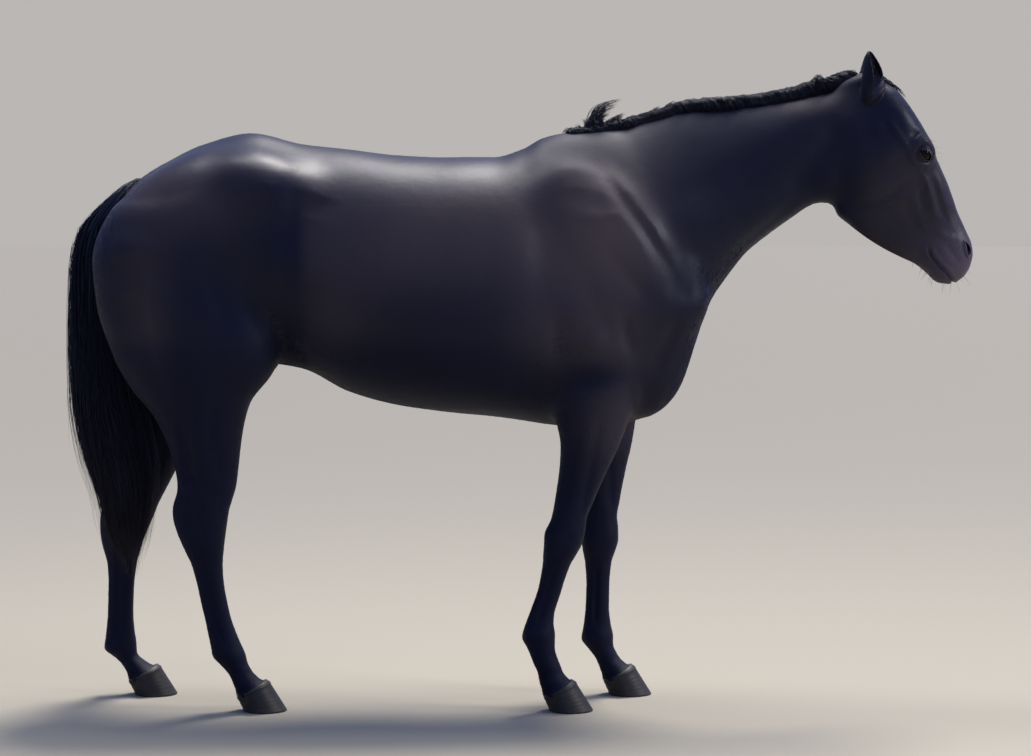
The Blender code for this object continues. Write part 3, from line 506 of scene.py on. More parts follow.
def ease(value, low, high):
    """0 below low, 1 above high, and a smooth rise 3t^2 - 2t^3 between them."""
    t = np.clip((value - low) / (high - low), 0, 1)
    return t * t * (3 - 2 * t)


def bell(value, middle, width):
    """A soft bump: exp(-((value - middle) / width)^2)."""
    return np.exp(-(((value - middle) / width) ** 2))


def near_line(a, b, knots):
    """Distance in a plane from (a, b) to a broken line, and the nearest point's share of the way along it."""
    knots = np.array(knots, float)
    lengths = np.hypot(*np.diff(knots, axis=0).T)
    before = np.concatenate([[0], np.cumsum(lengths)])
    best = np.full(a.shape, 9.0)
    place = np.zeros(a.shape)
    for i, length in enumerate(lengths):
        step = (knots[i + 1] - knots[i]) / length
        t = np.clip((a - knots[i, 0]) * step[0] + (b - knots[i, 1]) * step[1], 0, length)
        far = np.hypot(a - knots[i, 0] - t * step[0], b - knots[i, 1] - t * step[1])
        closer = far < best
        best = np.where(closer, far, best)
        place = np.where(closer, (before[i] + t) / before[-1], place)
    return best, place


def stroked(a, b, strokes):
    """Sum of the strokes at (a, b): height times exp(-(distance / width)^2), fading towards their ends."""
    total = np.zeros(a.shape)
    for knots, width, height in strokes:
        low, high = np.min(knots, axis=0) - 3 * width, np.max(knots, axis=0) + 3 * width
        near = np.flatnonzero((a > low[0]) & (a < high[0]) & (b > low[1]) & (b < high[1]))
        if len(near):
            far, place = near_line(a[near], b[near], knots)
            fade = 0.25 + 0.75 * ease(place, 0, 0.25) * ease(1 - place, 0, 0.25)
            total[near] += height * fade * bell(far, 0, width)
    return total


LEG_LINES = {name: ((solid.z, solid.x), (solid.z, solid.y)) for name, solid in zip(LEGS, LEG_SOLIDS)}


def leg_relief(points):
    """Tendons, the bones of knee and hock, fetlocks and coronet, each set by its height on its own leg."""
    total = np.zeros(len(points))
    for name, (joints, _, side) in LEGS.items():
        fore = name.startswith("fore")
        centre_x, centre_y = LEG_LINES[name]
        x, y, z = points.T
        near = np.flatnonzero((y * side > 0.04) & (z < 0.95) & (np.abs(x - np.interp(z, *centre_x)) < 0.17))
        x, y, z = points[near].T
        dx = x - np.interp(z, *centre_x)
        out = (y - np.interp(z, *centre_y)) * side
        joint = joints[2][0] if fore else joints[5][0]
        fetlock = joints[4][0] if fore else joints[7][0]

        def bump(at_x, at_out, at_z, wide, tall, height):
            return height * bell(dx, at_x, wide) * bell(out, at_out, wide) * bell(z, at_z, tall)

        def furrow(at_x, low, high, wide, height):
            level = ease(z, low, low + 0.04) * ease(high - z, 0, 0.04)
            return height * level * bell(dx, at_x, wide) * ease(np.abs(out), 0.004, 0.018)

        form = furrow(-0.010, fetlock + 0.025, joint - 0.07, 0.0085, -0.0050)
        form += furrow(-0.029, fetlock + 0.035, joint - 0.10, 0.0050, -0.0018)
        for inner in (-1, 1):
            form += bump(-0.032, inner * 0.020, fetlock, 0.016, 0.022, 0.0045)
            form += bump(0.004, inner * 0.036, fetlock + 0.004, 0.018, 0.020, 0.0020)
        form += bump(-0.046, 0.0, fetlock - 0.012, 0.014, 0.014, 0.0040)
        form -= 0.0025 * bell(z, CORONET_Z + 0.036, 0.012) * (z < 0.12)
        above_horn = z - FLOOR - CORONET_MIDDLE - CORONET_SLOPE * (x - joints[-1][1])
        form += 0.0085 * bell(above_horn, 0, 0.011) * (above_horn > -0.03)
        if fore:
            form += bump(-0.052, 0.010, joint + 0.020, 0.018, 0.026, 0.0075)
            form += bump(0.048, 0.018, joint + 0.026, 0.016, 0.018, 0.0028)
            form += bump(0.048, -0.018, joint + 0.026, 0.016, 0.018, 0.0028)
            form += bump(0.046, 0.0, joint - 0.022, 0.022, 0.016, 0.0024)
            form += bump(0.0, 0.048, joint + 0.004, 0.022, 0.006, -0.0020)
            form += bump(0.0, 0.044, joint + 0.045, 0.020, 0.018, 0.0025)
            form += furrow(0.030, joint + 0.06, 0.80, 0.011, -0.0040)
            form += furrow(-0.022, joint + 0.07, 0.78, 0.011, -0.0038)
            form += bump(-0.012, -0.050, joint + 0.125, 0.013, 0.026, 0.0028)
        else:
            form += furrow(-0.046, joint + 0.075, joint + 0.27, 0.0165, -0.0110)
            form += furrow(-0.070, joint + 0.06, joint + 0.26, 0.0080, 0.0025)
            form += bump(0.008, 0.046, joint + 0.035, 0.022, 0.022, 0.0045)
            form += bump(0.020, -0.044, joint + 0.020, 0.022, 0.022, 0.0050)
            form += bump(0.006, -0.040, joint - 0.045, 0.020, 0.018, 0.0030)
            form += furrow(-0.034, joint - 0.04, joint + 0.04, 0.0100, -0.0040)
            form += bump(-0.082, 0.0, joint + 0.030, 0.018, 0.022, 0.0040)
            form += bump(-0.030, -0.042, joint - 0.080, 0.010, 0.020, 0.0026)
            form += furrow(0.030, joint + 0.10, 0.84, 0.014, -0.0035)
        total[near] += form
    return total


def relief(points):
    """How far the skin stands out from the plain flesh: strokes, ribs, middle grooves, mouth and legs."""
    x, y, z = points.T
    aside = np.abs(y)
    total = stroked(x, z, BODY_STROKES) * ease(aside, 0.035, 0.075)
    ribs = np.cos(2 * np.pi * (x + 0.25 * (1.2 - z)) / 0.062)
    over_ribs = ease(x, -0.50, -0.40) * ease(-x, 0.0, 0.1) * ease(z, 0.92, 1.02) * ease(-z, -1.36, -1.22)
    total += 0.00025 * ribs * over_ribs
    at_breast = ease(x, 0.36, 0.42) * ease(z, 0.86, 0.94) * ease(-z, -1.16, -1.08)
    on_spine = ease(-x, 0.15, 0.3) * ease(z, 1.30, 1.36) * ease(x, -1.02, -0.92)
    at_buttocks = ease(-x, 0.98, 1.05) * ease(-z, -1.34, -1.26)
    grooves = ((0.010, 0.016, at_breast), (0.004, 0.020, on_spine), (0.016, 0.022, at_buttocks))
    for depth, width, where in grooves:
        total -= depth * bell(y, 0, width) * where
    head = np.flatnonzero(of_head(points))
    s, r = along_head(points[head])
    side = aside[head]
    form = stroked(s, r, HEAD_STROKES) * ease(side, 0.018, 0.036)
    far, place = near_line(s, r, MOUTH)
    depth = 0.35 + 0.65 * ease(place, 0.0, 0.12)
    form -= 0.0062 * depth * bell(far, 0, 0.0030)
    form += 0.0022 * depth * bell(far, 0.0095, 0.0055)
    form -= 0.0030 * bell(side, 0, 0.006) * ease(s, 0.560, 0.580) * ease(-r, -0.020, 0.000)
    total[head] += form
    legs = np.flatnonzero(z < 0.95)
    total[legs] += leg_relief(points[legs])
    return total


def flesh(points):
    """The melted signed distance to all the flesh at each point, 9 where nothing is near."""
    field = np.full(len(points), 9.0)
    for part in FLESH:
        low, high = np.array(part.box)
        reach = part.soft + 0.03
        near = np.flatnonzero(((points > low - reach) & (points < high + reach)).all(axis=1))
        if len(near):
            field[near] = soft_min(field[near], part.distance(*points[near].T), part.soft)
    return field


def skin_distance(points):
    """The field whose zero is the skin: the flesh's own, less the coat's depth, and the relief."""
    return flesh(points) + COAT_DEPTH - relief(points)


def slope_of(points, field):
    """Gradient of the field by differences half a millimetre ahead."""
    step = 0.0005
    value = field(points)
    return value, np.stack([field(points + step * axis) - value for axis in np.eye(3)], axis=1) / step


def settled(points, rounds=2, field=skin_distance):
    """Newton's steps along the gradient to where the field is zero, a centimetre at most each."""
    for _ in range(rounds):
        value, slope = slope_of(points, field)
        size = np.maximum((slope**2).sum(axis=1), 0.25)
        points = points - slope * np.clip(value / size, -0.01, 0.01)[:, None]
    return points


def places(verts):
    return np.array([vertex.co for vertex in verts])


def move(verts, points):
    for vertex, place in zip(verts, points.tolist()):
        vertex.co = place


def refined(mesh, wanted):
    """Halves the edges whose two ends are both wanted, then settles the new points on the skin."""
    within = wanted(places(mesh.verts))
    mesh.verts.index_update()
    edges = [edge for edge in mesh.edges if all(within[vertex.index] for vertex in edge.verts)]
    bmesh.ops.subdivide_edges(mesh, edges=edges, cuts=1, use_grid_fill=True)
    points = places(mesh.verts)
    moved = wanted(points)
    points[moved] = settled(points[moved])
    move(mesh.verts, points)


def put(name, data):
    """A new object in the scene that holds the mesh, lamp or lens."""
    thing = bpy.data.objects.new(name, data)
    bpy.context.scene.collection.objects.link(thing)
    return thing


def made(name, points, faces):
    """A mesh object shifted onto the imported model."""
    mesh = bpy.data.meshes.new(name)
    mesh.from_pydata((np.asarray(points) + SHIFT).tolist(), [], [list(face) for face in faces])
    mesh.update()
    mesh.shade_smooth()
    return put(name, mesh)


def plain_skin():
    """The skin before its features: the zero surface on a lattice round the flesh, settled on the relief."""
    low = np.min([part.box[0] for part in FLESH], axis=0) - 0.04
    high = np.max([part.box[1] for part in FLESH], axis=0) + 0.04
    axes = [np.arange(low[k], high[k] + GRID, GRID) for k in range(3)]
    lattice = np.stack(np.meshgrid(*axes, indexing="ij"), axis=-1).reshape(-1, 3)
    field = flesh(lattice).reshape([len(axis) for axis in axes]) + COAT_DEPTH
    points, quads = surface_nets(axes, field)
    plain = bpy.data.meshes.new("plain skin")
    plain.from_pydata(settled(points, 3).tolist(), [], quads.tolist())
    mesh = bmesh.new()
    mesh.from_mesh(plain)
    bpy.data.meshes.remove(plain)
    return mesh


EYE_ALONG, EYE_ACROSS = 0.2575, 0.043


def head_or_lower_leg(points):
    s, r = along_head(points)
    head = (s > -0.03) & (r > -0.30) & (points[:, 0] > 0.84) & (points[:, 2] > BREAST_Z)
    return head | (points[:, 2] < 0.66)


def face_parts(points):
    s, r = along_head(points)
    aside = np.abs(points[:, 1])
    eye = np.hypot(s - EYE_ALONG, r - EYE_ACROSS) < 0.056
    muzzle = (s > 0.480) & (points[:, 0] > 0.9)
    ear = (np.hypot(points[:, 0] - 0.945, points[:, 2] - 1.66) < 0.070) & (aside > 0.01)
    return (eye & (aside > 0.04)) | muzzle | ear


def finest_parts(points):
    s, r = along_head(points)
    aside = np.abs(points[:, 1])
    eye = np.hypot((s - EYE_ALONG) / 1.15, r - EYE_ACROSS) < 0.034
    nostril = np.hypot(s - 0.546, r - 0.052) < 0.040
    mouth = near_line(s, r, MOUTH)[0] < 0.007
    return (eye & (aside > 0.05)) | ((nostril | mouth) & (aside > 0.006) & (points[:, 0] > 0.9))


skin = plain_skin()
for wanted in (head_or_lower_leg, face_parts, finest_parts):
    refined(skin, wanted)
inside_layer = skin.verts.layers.float.new("inside")


class Patch:
    """A place on the skin with directions along, across and out of it; mirrored for the left side."""

    def __init__(self, origin, along, out, side):
        mirror = np.array([1, -side, 1])
        out = np.array(out, float) / np.linalg.norm(out)
        along = np.array(along, float)
        along = along - out * (along @ out)
        along /= np.linalg.norm(along)
        self.axes = np.array([along, np.cross(out, along), out]) * mirror
        self.origin = np.array(origin, float) * mirror

    def local(self, points):
        return (points - self.origin) @ self.axes.T

    def world(self, u, v, w):
        return self.origin + np.stack([u, v, w], axis=-1) @ self.axes

    def on_skin(self, u, v, w):
        """The height out of the patch at which the skin lies over (u, v), by Newton's steps from w."""
        for _ in range(4):
            here = skin_distance(self.world(u, v, w))
            ahead = skin_distance(self.world(u, v, w + 0.0005))
            w = w - np.clip(here / np.maximum((ahead - here) / 0.0005, 0.3), -0.008, 0.008)
        return w


def relax_round(rim):
    """Evens out four rings of vertices round a rim: each goes to its neighbours' middle, then to the skin."""
    ring, near = set(rim), set()
    for _ in range(4):
        ring = {edge.other_vert(vertex) for vertex in ring for edge in vertex.link_edges} - set(rim) - near
        near |= ring
    near = sorted(near, key=lambda vertex: vertex.index)

    def middle(vertex):
        beside = [edge.other_vert(vertex).co for edge in vertex.link_edges]
        return sum(beside, Vector()) / len(beside)

    for _ in range(8):
        for vertex, place in zip(near, [middle(vertex) for vertex in near]):
            vertex.co = place
    move(near, settled(places(near)))


def opened(mesh, patch, size, reach):
    """Cuts an oval hole in the skin round the patch and lays the hole's rim on the oval.

    size is the oval's half axes, reach the middle and half of the depth that it cuts. Returns the rim's
    vertices in order and each one's angle round the oval.
    """
    local = patch.local(places(mesh.verts))
    mesh.verts.index_update()
    inner = np.hypot(local[:, 0] / size[0], local[:, 1] / size[1]) < 1.08
    inner &= np.abs(local[:, 2] - reach[0]) < reach[1]
    doomed = [face for face in mesh.faces if all(inner[vertex.index] for vertex in face.verts)]
    bmesh.ops.delete(mesh, geom=doomed, context="FACES")
    mesh.verts.index_update()
    links = {}
    for edge in mesh.edges:
        if len(edge.link_faces) == 1:
            for a, b in (tuple(edge.verts), tuple(edge.verts)[::-1]):
                links.setdefault(a, []).append(b)

    def off_oval(vertex):
        return abs(np.linalg.norm(patch.local(np.array(vertex.co))[:2]) - max(size))

    rim = [min(links, key=off_oval)]
    rim.append(links[rim[0]][0])
    while rim[-1] != rim[0]:
        ahead = [vertex for vertex in links[rim[-1]] if vertex != rim[-2]]
        rim.append(ahead[0])
    rim.pop()
    local = patch.local(places(rim))
    angle = np.unwrap(np.arctan2(local[:, 1] / size[1], local[:, 0] / size[0]))
    if angle[-1] < angle[0]:
        rim, local, angle = rim[::-1], local[::-1], angle[::-1]
    turn = 2 * np.pi
    for _ in range(12):
        angle = (np.append(angle[-1] - turn, angle[:-1]) + angle + np.append(angle[1:], angle[0] + turn)) / 3
    u, v = size[0] * np.cos(angle), size[1] * np.sin(angle)
    w = patch.on_skin(u, v, local[:, 2])
    move(rim, patch.world(u, v, w))
    relax_round(rim)
    return rim, angle


def grown(mesh, rim, rings, inside):
    """Carries the rim on over rings of points, each with how far inside an opening it is, and closes it."""
    layer = mesh.verts.layers.float["inside"]
    before = rim
    for ring, deep in zip(rings, inside):
        after = [mesh.verts.new(place) for place in ring.tolist()]
        for vertex, amount in zip(after, np.broadcast_to(deep, len(after)).tolist()):
            vertex[layer] = amount
        for i in range(len(rim)):
            mesh.faces.new((before[i - 1], before[i], after[i], after[i - 1]))
        before = after
    mesh.faces.new(before[::-1])


def towards(patch, rim, oval, opening, steps):
    """Rings on the skin from the rim's oval to an opening: each one's share of the way, u, v and height."""
    w = patch.local(places(rim))[:, 2]
    for share in np.arange(1, steps + 1) / steps:
        u, v = (first + (last - first) * share for first, last in zip(oval, opening))
        w = patch.on_skin(u, v, w)
        yield share, u, v, w


def almond(angle, back, ahead, above, below):
    """An eye's opening: an oval drawn to points at its two corners, the front one a little lower."""
    front = np.maximum(np.cos(angle), 0)
    tall = np.where(np.sin(angle) > 0, above, below)
    long = np.where(np.cos(angle) > 0, ahead, back)
    return long * np.cos(angle), tall * np.sin(angle) * np.abs(np.sin(angle)) ** 0.30 - 0.0022 * front**3


# How far the eye's opening goes back, ahead, up and down, and the half axes of the lids' patch.
EYE_OPENING, EYE_PATCH, EYE_TURN = (0.0195, 0.0238, 0.0135, 0.0105), (0.0320, 0.0270), math.radians(24)
LID_THICKNESS = 0.0034
FACE_DOWN = np.array([HEAD_AXIS[0], 0, HEAD_AXIS[1]])
FACE_UP = np.array([-HEAD_AXIS[1], 0, HEAD_AXIS[0]])
ASIDE = np.array([0, -1, 0])


def down_and_up(turn):
    """The direction turned from down the face towards out of the face line."""
    return FACE_DOWN * math.cos(turn) + FACE_UP * math.sin(turn)


def eye_patch(side):
    out = ASIDE * 0.93 + FACE_DOWN * 0.28 + FACE_UP * 0.16
    return Patch((EYE_CENTRE[0], -EYE_CENTRE[1], EYE_CENTRE[2]), down_and_up(EYE_TURN), out, side)


def over_ball(u, v, height):
    """How far out of the eye's centre a ball reaches over (u, v) that is that much bigger than the eye."""
    return np.sqrt(np.maximum((EYE_RADIUS + height) ** 2 - u * u - v * v, 1e-6))


def lids(mesh, side):
    """Lids that lift off the skin, lie over the eyeball with creases in them, and roll in at their edge.

    A ring's height goes from the skin's to the ball's along an ease curve, less a bell for each crease.
    """
    patch = eye_patch(side)
    rim, angle = opened(mesh, patch, EYE_PATCH, (0.018, 0.024))
    oval = EYE_PATCH[0] * np.cos(angle), EYE_PATCH[1] * np.sin(angle)
    opening = almond(angle, *EYE_OPENING)
    upper, lower = ease(np.sin(angle), -0.1, 0.6), ease(-np.sin(angle), 0.0, 0.6)
    rings, inside = [], []
    for share, u, v, w in towards(patch, rim, oval, opening, 14):
        over = np.maximum(over_ball(u, v, LID_THICKNESS), w - 0.0055)
        lift = ease(share, -0.05, 0.92)
        crease = upper * (0.0019 * bell(share, 0.50, 0.090) + 0.0008 * bell(share, 0.22, 0.090))
        crease += lower * 0.0005 * bell(share, 0.56, 0.100)
        roll = 0.0009 * bell(share, 0.84, 0.12)
        rings.append(patch.world(u, v, w * (1 - lift) + over * lift - crease + roll))
        inside.append(0.40 * ease(share, 0.72, 1.0))
    edges = ((0.980, 0.0028), (0.960, 0.0018), (0.945, 0.0006), (0.95, -0.0012), (0.88, -0.0060))
    for shrink, height in edges:
        u, v = opening[0] * shrink, opening[1] * shrink
        tucked = over - (LID_THICKNESS - height) * 2.2
        rings.append(patch.world(u, v, np.maximum(over_ball(u, v, height), tucked)))
        inside.append(0.8)
    grown(mesh, rim, rings, inside)


NOSTRIL_PATCH, NOSTRIL_TURN = (0.0300, 0.0205), math.radians(-18)


def nostril_patch(side):
    origin = settled(on_head(0.5440, 0.0500, -0.036)[None, :], 6)[0]
    return Patch(origin, down_and_up(NOSTRIL_TURN), ASIDE * 0.74 + FACE_DOWN * 0.30 + FACE_UP * 0.52, side)


def nostril(mesh, side):
    """A comma-shaped nostril: a raised wing round it, then walls that turn in and narrow upwards to the dark.

    The wing is the skin's height plus a bell near the edge; each wall ring is the opening shrunk and sunk.
    """
    patch = nostril_patch(side)
    rim, angle = opened(mesh, patch, NOSTRIL_PATCH, (0.0, 0.024))
    oval = NOSTRIL_PATCH[0] * np.cos(angle), NOSTRIL_PATCH[1] * np.sin(angle)
    drawn = 0.0085 * np.sin(angle) * (1 + 0.40 * np.cos(angle)) + 0.0040 - 0.0060 * (np.cos(angle) - 0.2) ** 2
    opening = 0.0200 * np.cos(angle) + 0.001, drawn
    wing = 0.0014 + 0.0034 * ease(-np.sin(angle), -0.6, 0.7)
    rings, inside = [], []
    for share, u, v, w in towards(patch, rim, oval, opening, 11):
        rings.append(patch.world(u, v, w + wing * bell(share, 0.86, 0.34) * ease(share, 0.0, 0.45)))
        inside.append(0.3 * ease(share, 0.7, 1.0))
    level = patch.local(rings[-1])[:, 2]
    walls = (
        (0.965, 0.0008, 0.5),
        (0.90, 0.0036, 0.7),
        (0.82, 0.009, 0.9),
        (0.75, 0.015, 1.0),
        (0.66, 0.021, 1.0),
        (0.50, 0.026, 1.0),
    )
    for shrink, depth, deep in walls:
        drift = depth * 0.5
        u, v = opening[0] * shrink - drift, opening[1] * shrink + drift * 0.1
        rings.append(patch.world(u, v, level - depth))
        inside.append(deep)
    grown(mesh, rim, rings, inside)


EAR_PATCH = (0.032, 0.040)


def ear_patch(side):
    """The ear's own frame: along is its open side, out is up the ear."""
    turn = Matrix.Rotation(math.radians(EAR_TURN * side), 3, "Z")
    lean = Matrix.Rotation(math.radians(EAR_LEAN[side]), 3, "Y")
    tilt = Matrix.Rotation(math.radians(-EAR_TILT * side), 3, "X")
    patch = Patch((EAR_BASE[0], -EAR_BASE[1], EAR_BASE[2]), (1, 0, 0), (0, 0, 1), side)
    patch.axes = np.array(tilt @ lean @ turn).T * np.array([[1], [-side], [1]])
    patch.origin = patch.world(0.004, 0.0, 0.0)
    return patch


def ear_half_width(t):
    """The ear's half width at a share t of its height: a sine, fullest low down and drawn in to the tip."""
    return EAR_WIDTH / 2 * (np.sin(np.pi * (0.18 + 0.80 * t)) ** 0.74 * (1 - 0.25 * t))


def ear(mesh, side):
    """An ear grown from the skin: a flared foot, a short closed tube, then a cup whose rims draw to the tip.

    The rim's front half becomes the cup's inside and its other half the ear's back: two arcs of about 235
    degrees, a wall's thickness apart, that the closed tube's circle eases into.
    """
    patch = ear_patch(side)
    mirror = np.array([1, -side, 1])
    zero = np.zeros(1)
    middle = patch.world(zero, zero, patch.on_skin(zero, zero, zero + 0.02))
    normal = slope_of(middle, skin_distance)[1][0]
    out = normal / np.linalg.norm(normal) + 0.55 * patch.axes[2]
    foot = Patch(middle[0] * mirror, patch.axes[0] * mirror, out * mirror, side)
    rim, angle = opened(mesh, foot, EAR_PATCH, (0.0, 0.030))
    base_u, base_v, start = patch.local(places(rim)).T
    turned = np.mod(angle, 2 * np.pi)
    front = np.cos(turned) > 0
    sweep = np.where(front, np.where(turned > np.pi, turned - 2 * np.pi, turned), turned - np.pi)
    back_angle, cup_angle = (sweep * 2 * math.radians(reach) / np.pi for reach in (118, 115))
    rings, inside = [], []
    foot_levels, cup_levels = np.linspace(0.02, 0.30, 12), np.linspace(0.35, 0.94, 12)
    for level in (*foot_levels, *cup_levels, 0.965, 0.983, 0.994, 1.0):
        flare = 1 - (1 - min(level / 0.30, 1)) ** 2
        evened = level + (level**1.5 - level) * max(0, 1 - level / 0.6)
        height = start + (EAR_LENGTH - COAT_DEPTH - start) * evened
        t = np.clip(height / EAR_LENGTH, 0, 1)
        tip = math.sqrt(max(1 - ((level - 0.94) / 0.06) ** 2, 0.02)) if level > 0.94 else 1.0
        width = ear_half_width(t) * tip
        depth = width * 0.95
        wall = (0.0022 + 0.0035 * (1 - t)) * tip
        bend = 0.012 * np.sin(np.pi * t) - 0.004
        tube_u, tube_v = depth * 0.92 * np.cos(angle) + bend, width * np.sin(angle)
        back_u, back_v = -depth * np.cos(back_angle) + bend, -width * np.sin(back_angle)
        cup_u, cup_v = -(depth - wall * 1.3) * np.cos(cup_angle) + bend, (width - wall) * np.sin(cup_angle)
        cup, back = ease(level, 0.17, 0.50), ease(level, 0.04, 0.30)
        cup_u = tube_u + (cup_u - tube_u) * cup
        cup_v = tube_v + (cup_v - tube_v) * ease(level, 0.10, 0.34)
        back_u = tube_u + (back_u - tube_u) * back
        back_v = tube_v + (back_v - tube_v) * back
        u, v = np.where(front, cup_u, back_u), np.where(front, cup_v, back_v)
        u, v = base_u + (u - base_u) * flare, base_v + (v - base_v) * flare
        rings.append(patch.world(u, v - 0.004 * t * t, height))
        inside.append(np.where(front, 0.65 * cup, 0.0))
    grown(mesh, rim, rings, inside)


for side in (RIGHT, LEFT):
    lids(skin, side)
    nostril(skin, side)
    ear(skin, side)
bmesh.ops.triangulate(skin, faces=[face for face in skin.faces if len(face.verts) > 4])
bmesh.ops.recalc_face_normals(skin, faces=skin.faces)
body = made("skin", places(skin.verts), [[vertex.index for vertex in face.verts] for face in skin.faces])
inside = np.array([vertex[inside_layer] for vertex in skin.verts])
FLESH_NODES = [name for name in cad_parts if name.split("_")[0] in
               ("head", "neck", "trunk", "upper", "lower", "ear")]
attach(body, "root")
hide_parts(*FLESH_NODES)


def spots(x, y, z):
    """Points or directions from their three coordinates, any of which may be one number for all."""
    return np.stack(np.broadcast_arrays(x, y, z), axis=-1).astype(float)


def tube(name, points):
    """A closed tube through rings of points (ring, place round it, xyz), with its ends capped."""
    rings, around = points.shape[:2]
    row, column = np.meshgrid(np.arange(rings - 1), np.arange(around), indexing="ij")
    beside = (column + 1) % around
    low, high = row * around, (row + 1) * around
    quads = np.stack([low + column, low + beside, high + beside, high + column], axis=-1).reshape(-1, 4)
    caps = [list(range(around)), list(range((rings - 1) * around, rings * around))]
    thing = made(name, points.reshape(-1, 3), quads.tolist() + caps)
    mesh = bmesh.new()
    mesh.from_mesh(thing.data)
    bmesh.ops.recalc_face_normals(mesh, faces=mesh.faces)
    mesh.to_mesh(thing.data)
    mesh.free()
    return thing


def point_values(thing, name, values):
    attribute = thing.data.attributes.new(name, "FLOAT", "POINT")
    attribute.data.foreach_set("value", np.asarray(values, np.float32).ravel())


def eyeball(name, side):
    """A ball of rings round its gaze, where the cornea swells by 1.3 mm exp(-(angle / 0.55)^2)."""
    patch = eye_patch(side)
    polar = np.concatenate([np.linspace(0.02, 1.0, 18), np.linspace(1.1, np.pi - 0.02, 12)])[:, None]
    around = 48
    angle = np.arange(around) * 2 * np.pi / around
    radius = EYE_RADIUS + 0.0013 * bell(polar, 0, 0.55)
    u, v = radius * np.sin(polar) * np.cos(angle), radius * np.sin(polar) * np.sin(angle)
    points = patch.world(u, v, radius * np.cos(polar) + 0 * angle)
    thing = tube(name, points)
    gaze = patch.local(points.reshape(-1, 3)) / EYE_RADIUS
    point_values(thing, "gaze_u", gaze[:, 0])
    point_values(thing, "gaze_v", gaze[:, 1])
    return thing


def hoof(name, foot_x, y):
    """Level rings that lean back most at the toe, with growth rings, a swollen coronet and two heel bulbs.

    A bulb stands out by 7.5 mm exp(-(angle off its middle / 0.28)^2 - (height off its middle / 0.21)^2).
    """
    around, levels = 72, 40
    angle = np.arange(around) * 2 * np.pi / around
    forward, aside = np.cos(angle), np.sin(angle)
    from_heel = np.abs(angle - np.pi)
    sole_x = HOOF_AHEAD + forward * HOOF_LENGTH * np.where(forward > 0, 0.50, 0.42)
    lean = (0.55 + 0.25 * forward) / math.tan(math.radians(TOE_SLOPE))
    top = (CORONET_MIDDLE + CORONET_SLOPE * sole_x) / (1 + CORONET_SLOPE * lean)
    pinch = 1 - 0.16 * np.maximum(0, -forward) ** 2
    t = np.concatenate([[0.0, 0.03], np.linspace(0.08, 1.0, levels - 4), [1.06, 1.08]])[:, None]
    ridge = 0.00017 * np.sin(t * 46 + 1.5 * np.sin(angle * 2)) * ease(t, 0.1, 0.3) * ease(-t, -0.96, -0.85)
    ridge += 0.0016 * bell(t, 0.985, 0.05) - 0.0012 * ease(-t, -0.03, 0.0) - 0.004 * ease(t, 1.02, 1.08)
    bulb = bell(from_heel, 0.46, 0.28) * bell(t, 0.84, 0.21)
    back = bell(from_heel, 0, 0.80) * ease(t, 0.20, 0.50)
    ridge = ridge * (1 - back) + 0.0075 * bulb + 0.0035 * back
    wide = HOOF_WIDTH / 2 * pinch * (1 - 0.13 * t) - 0.0006
    x = foot_x + sole_x - lean * top * t + forward * (ridge - 0.0006)
    points = spots(x, y + aside * (wide + ridge), FLOOR + top * t)
    middle = np.array([foot_x + HOOF_AHEAD, y])
    points[0, :, :2] = middle + (points[0, :, :2] - middle) * 0.985
    thing = tube(name, points)
    point_values(thing, "height", np.broadcast_to(t, (levels, around)))
    point_values(thing, "heel", np.maximum(bulb, back * ease(t, 0.40, 0.60)))
    return thing


hooves, eyes = [], []
for name, (joints, _, side) in LEGS.items():
    wall = hoof("hoof_wall_" + name, joints[-1][1] - 0.004, joints[-1][2] * side)
    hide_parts("hoof_" + name)
    "hoof_" + name
    hooves.append(wall)
for name, side in (("right", RIGHT), ("left", LEFT)):
    ball = eyeball("eyeball_" + name, side)
    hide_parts("eye_" + name)
    "eye_" + name
    eyes.append(ball)
for thing in hooves + eyes:
    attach(thing, "root")


def unit(vectors):
    return vectors / np.maximum(np.linalg.norm(vectors, axis=-1, keepdims=True), 1e-9)


def square_to(directions, axis):
    """The part of each direction that is square to its axis."""
    return directions - axis * (directions * axis).sum(axis=-1, keepdims=True)


def lie(points):
    """The way the coat lies: back along the trunk, down the neck, legs and face, back over the cheek."""
    x, _, z = points.T
    s, r = along_head(points)

    def mixed(first, second, weight):
        return first + (np.array(second) - first) * weight[:, None]

    way = mixed(np.array([-0.95, 0.0, -0.28]), (-0.50, 0.0, -0.86), ease(-x, 0.62, 0.88))
    way = mixed(way, (-0.55, 0.0, -0.83), ease(x, 0.05, 0.35))
    way = mixed(way, (0.0, 0.0, -1.0), ease(-z, -0.98, -0.80))
    on_face = mixed(FACE_DOWN, (-0.30, 0.0, -0.95), ease(-r, 0.00, 0.06) * ease(-s, -0.40, -0.30))
    return mixed(way, on_face, ease(x, 0.84, 0.90) * (z > BREAST_Z))


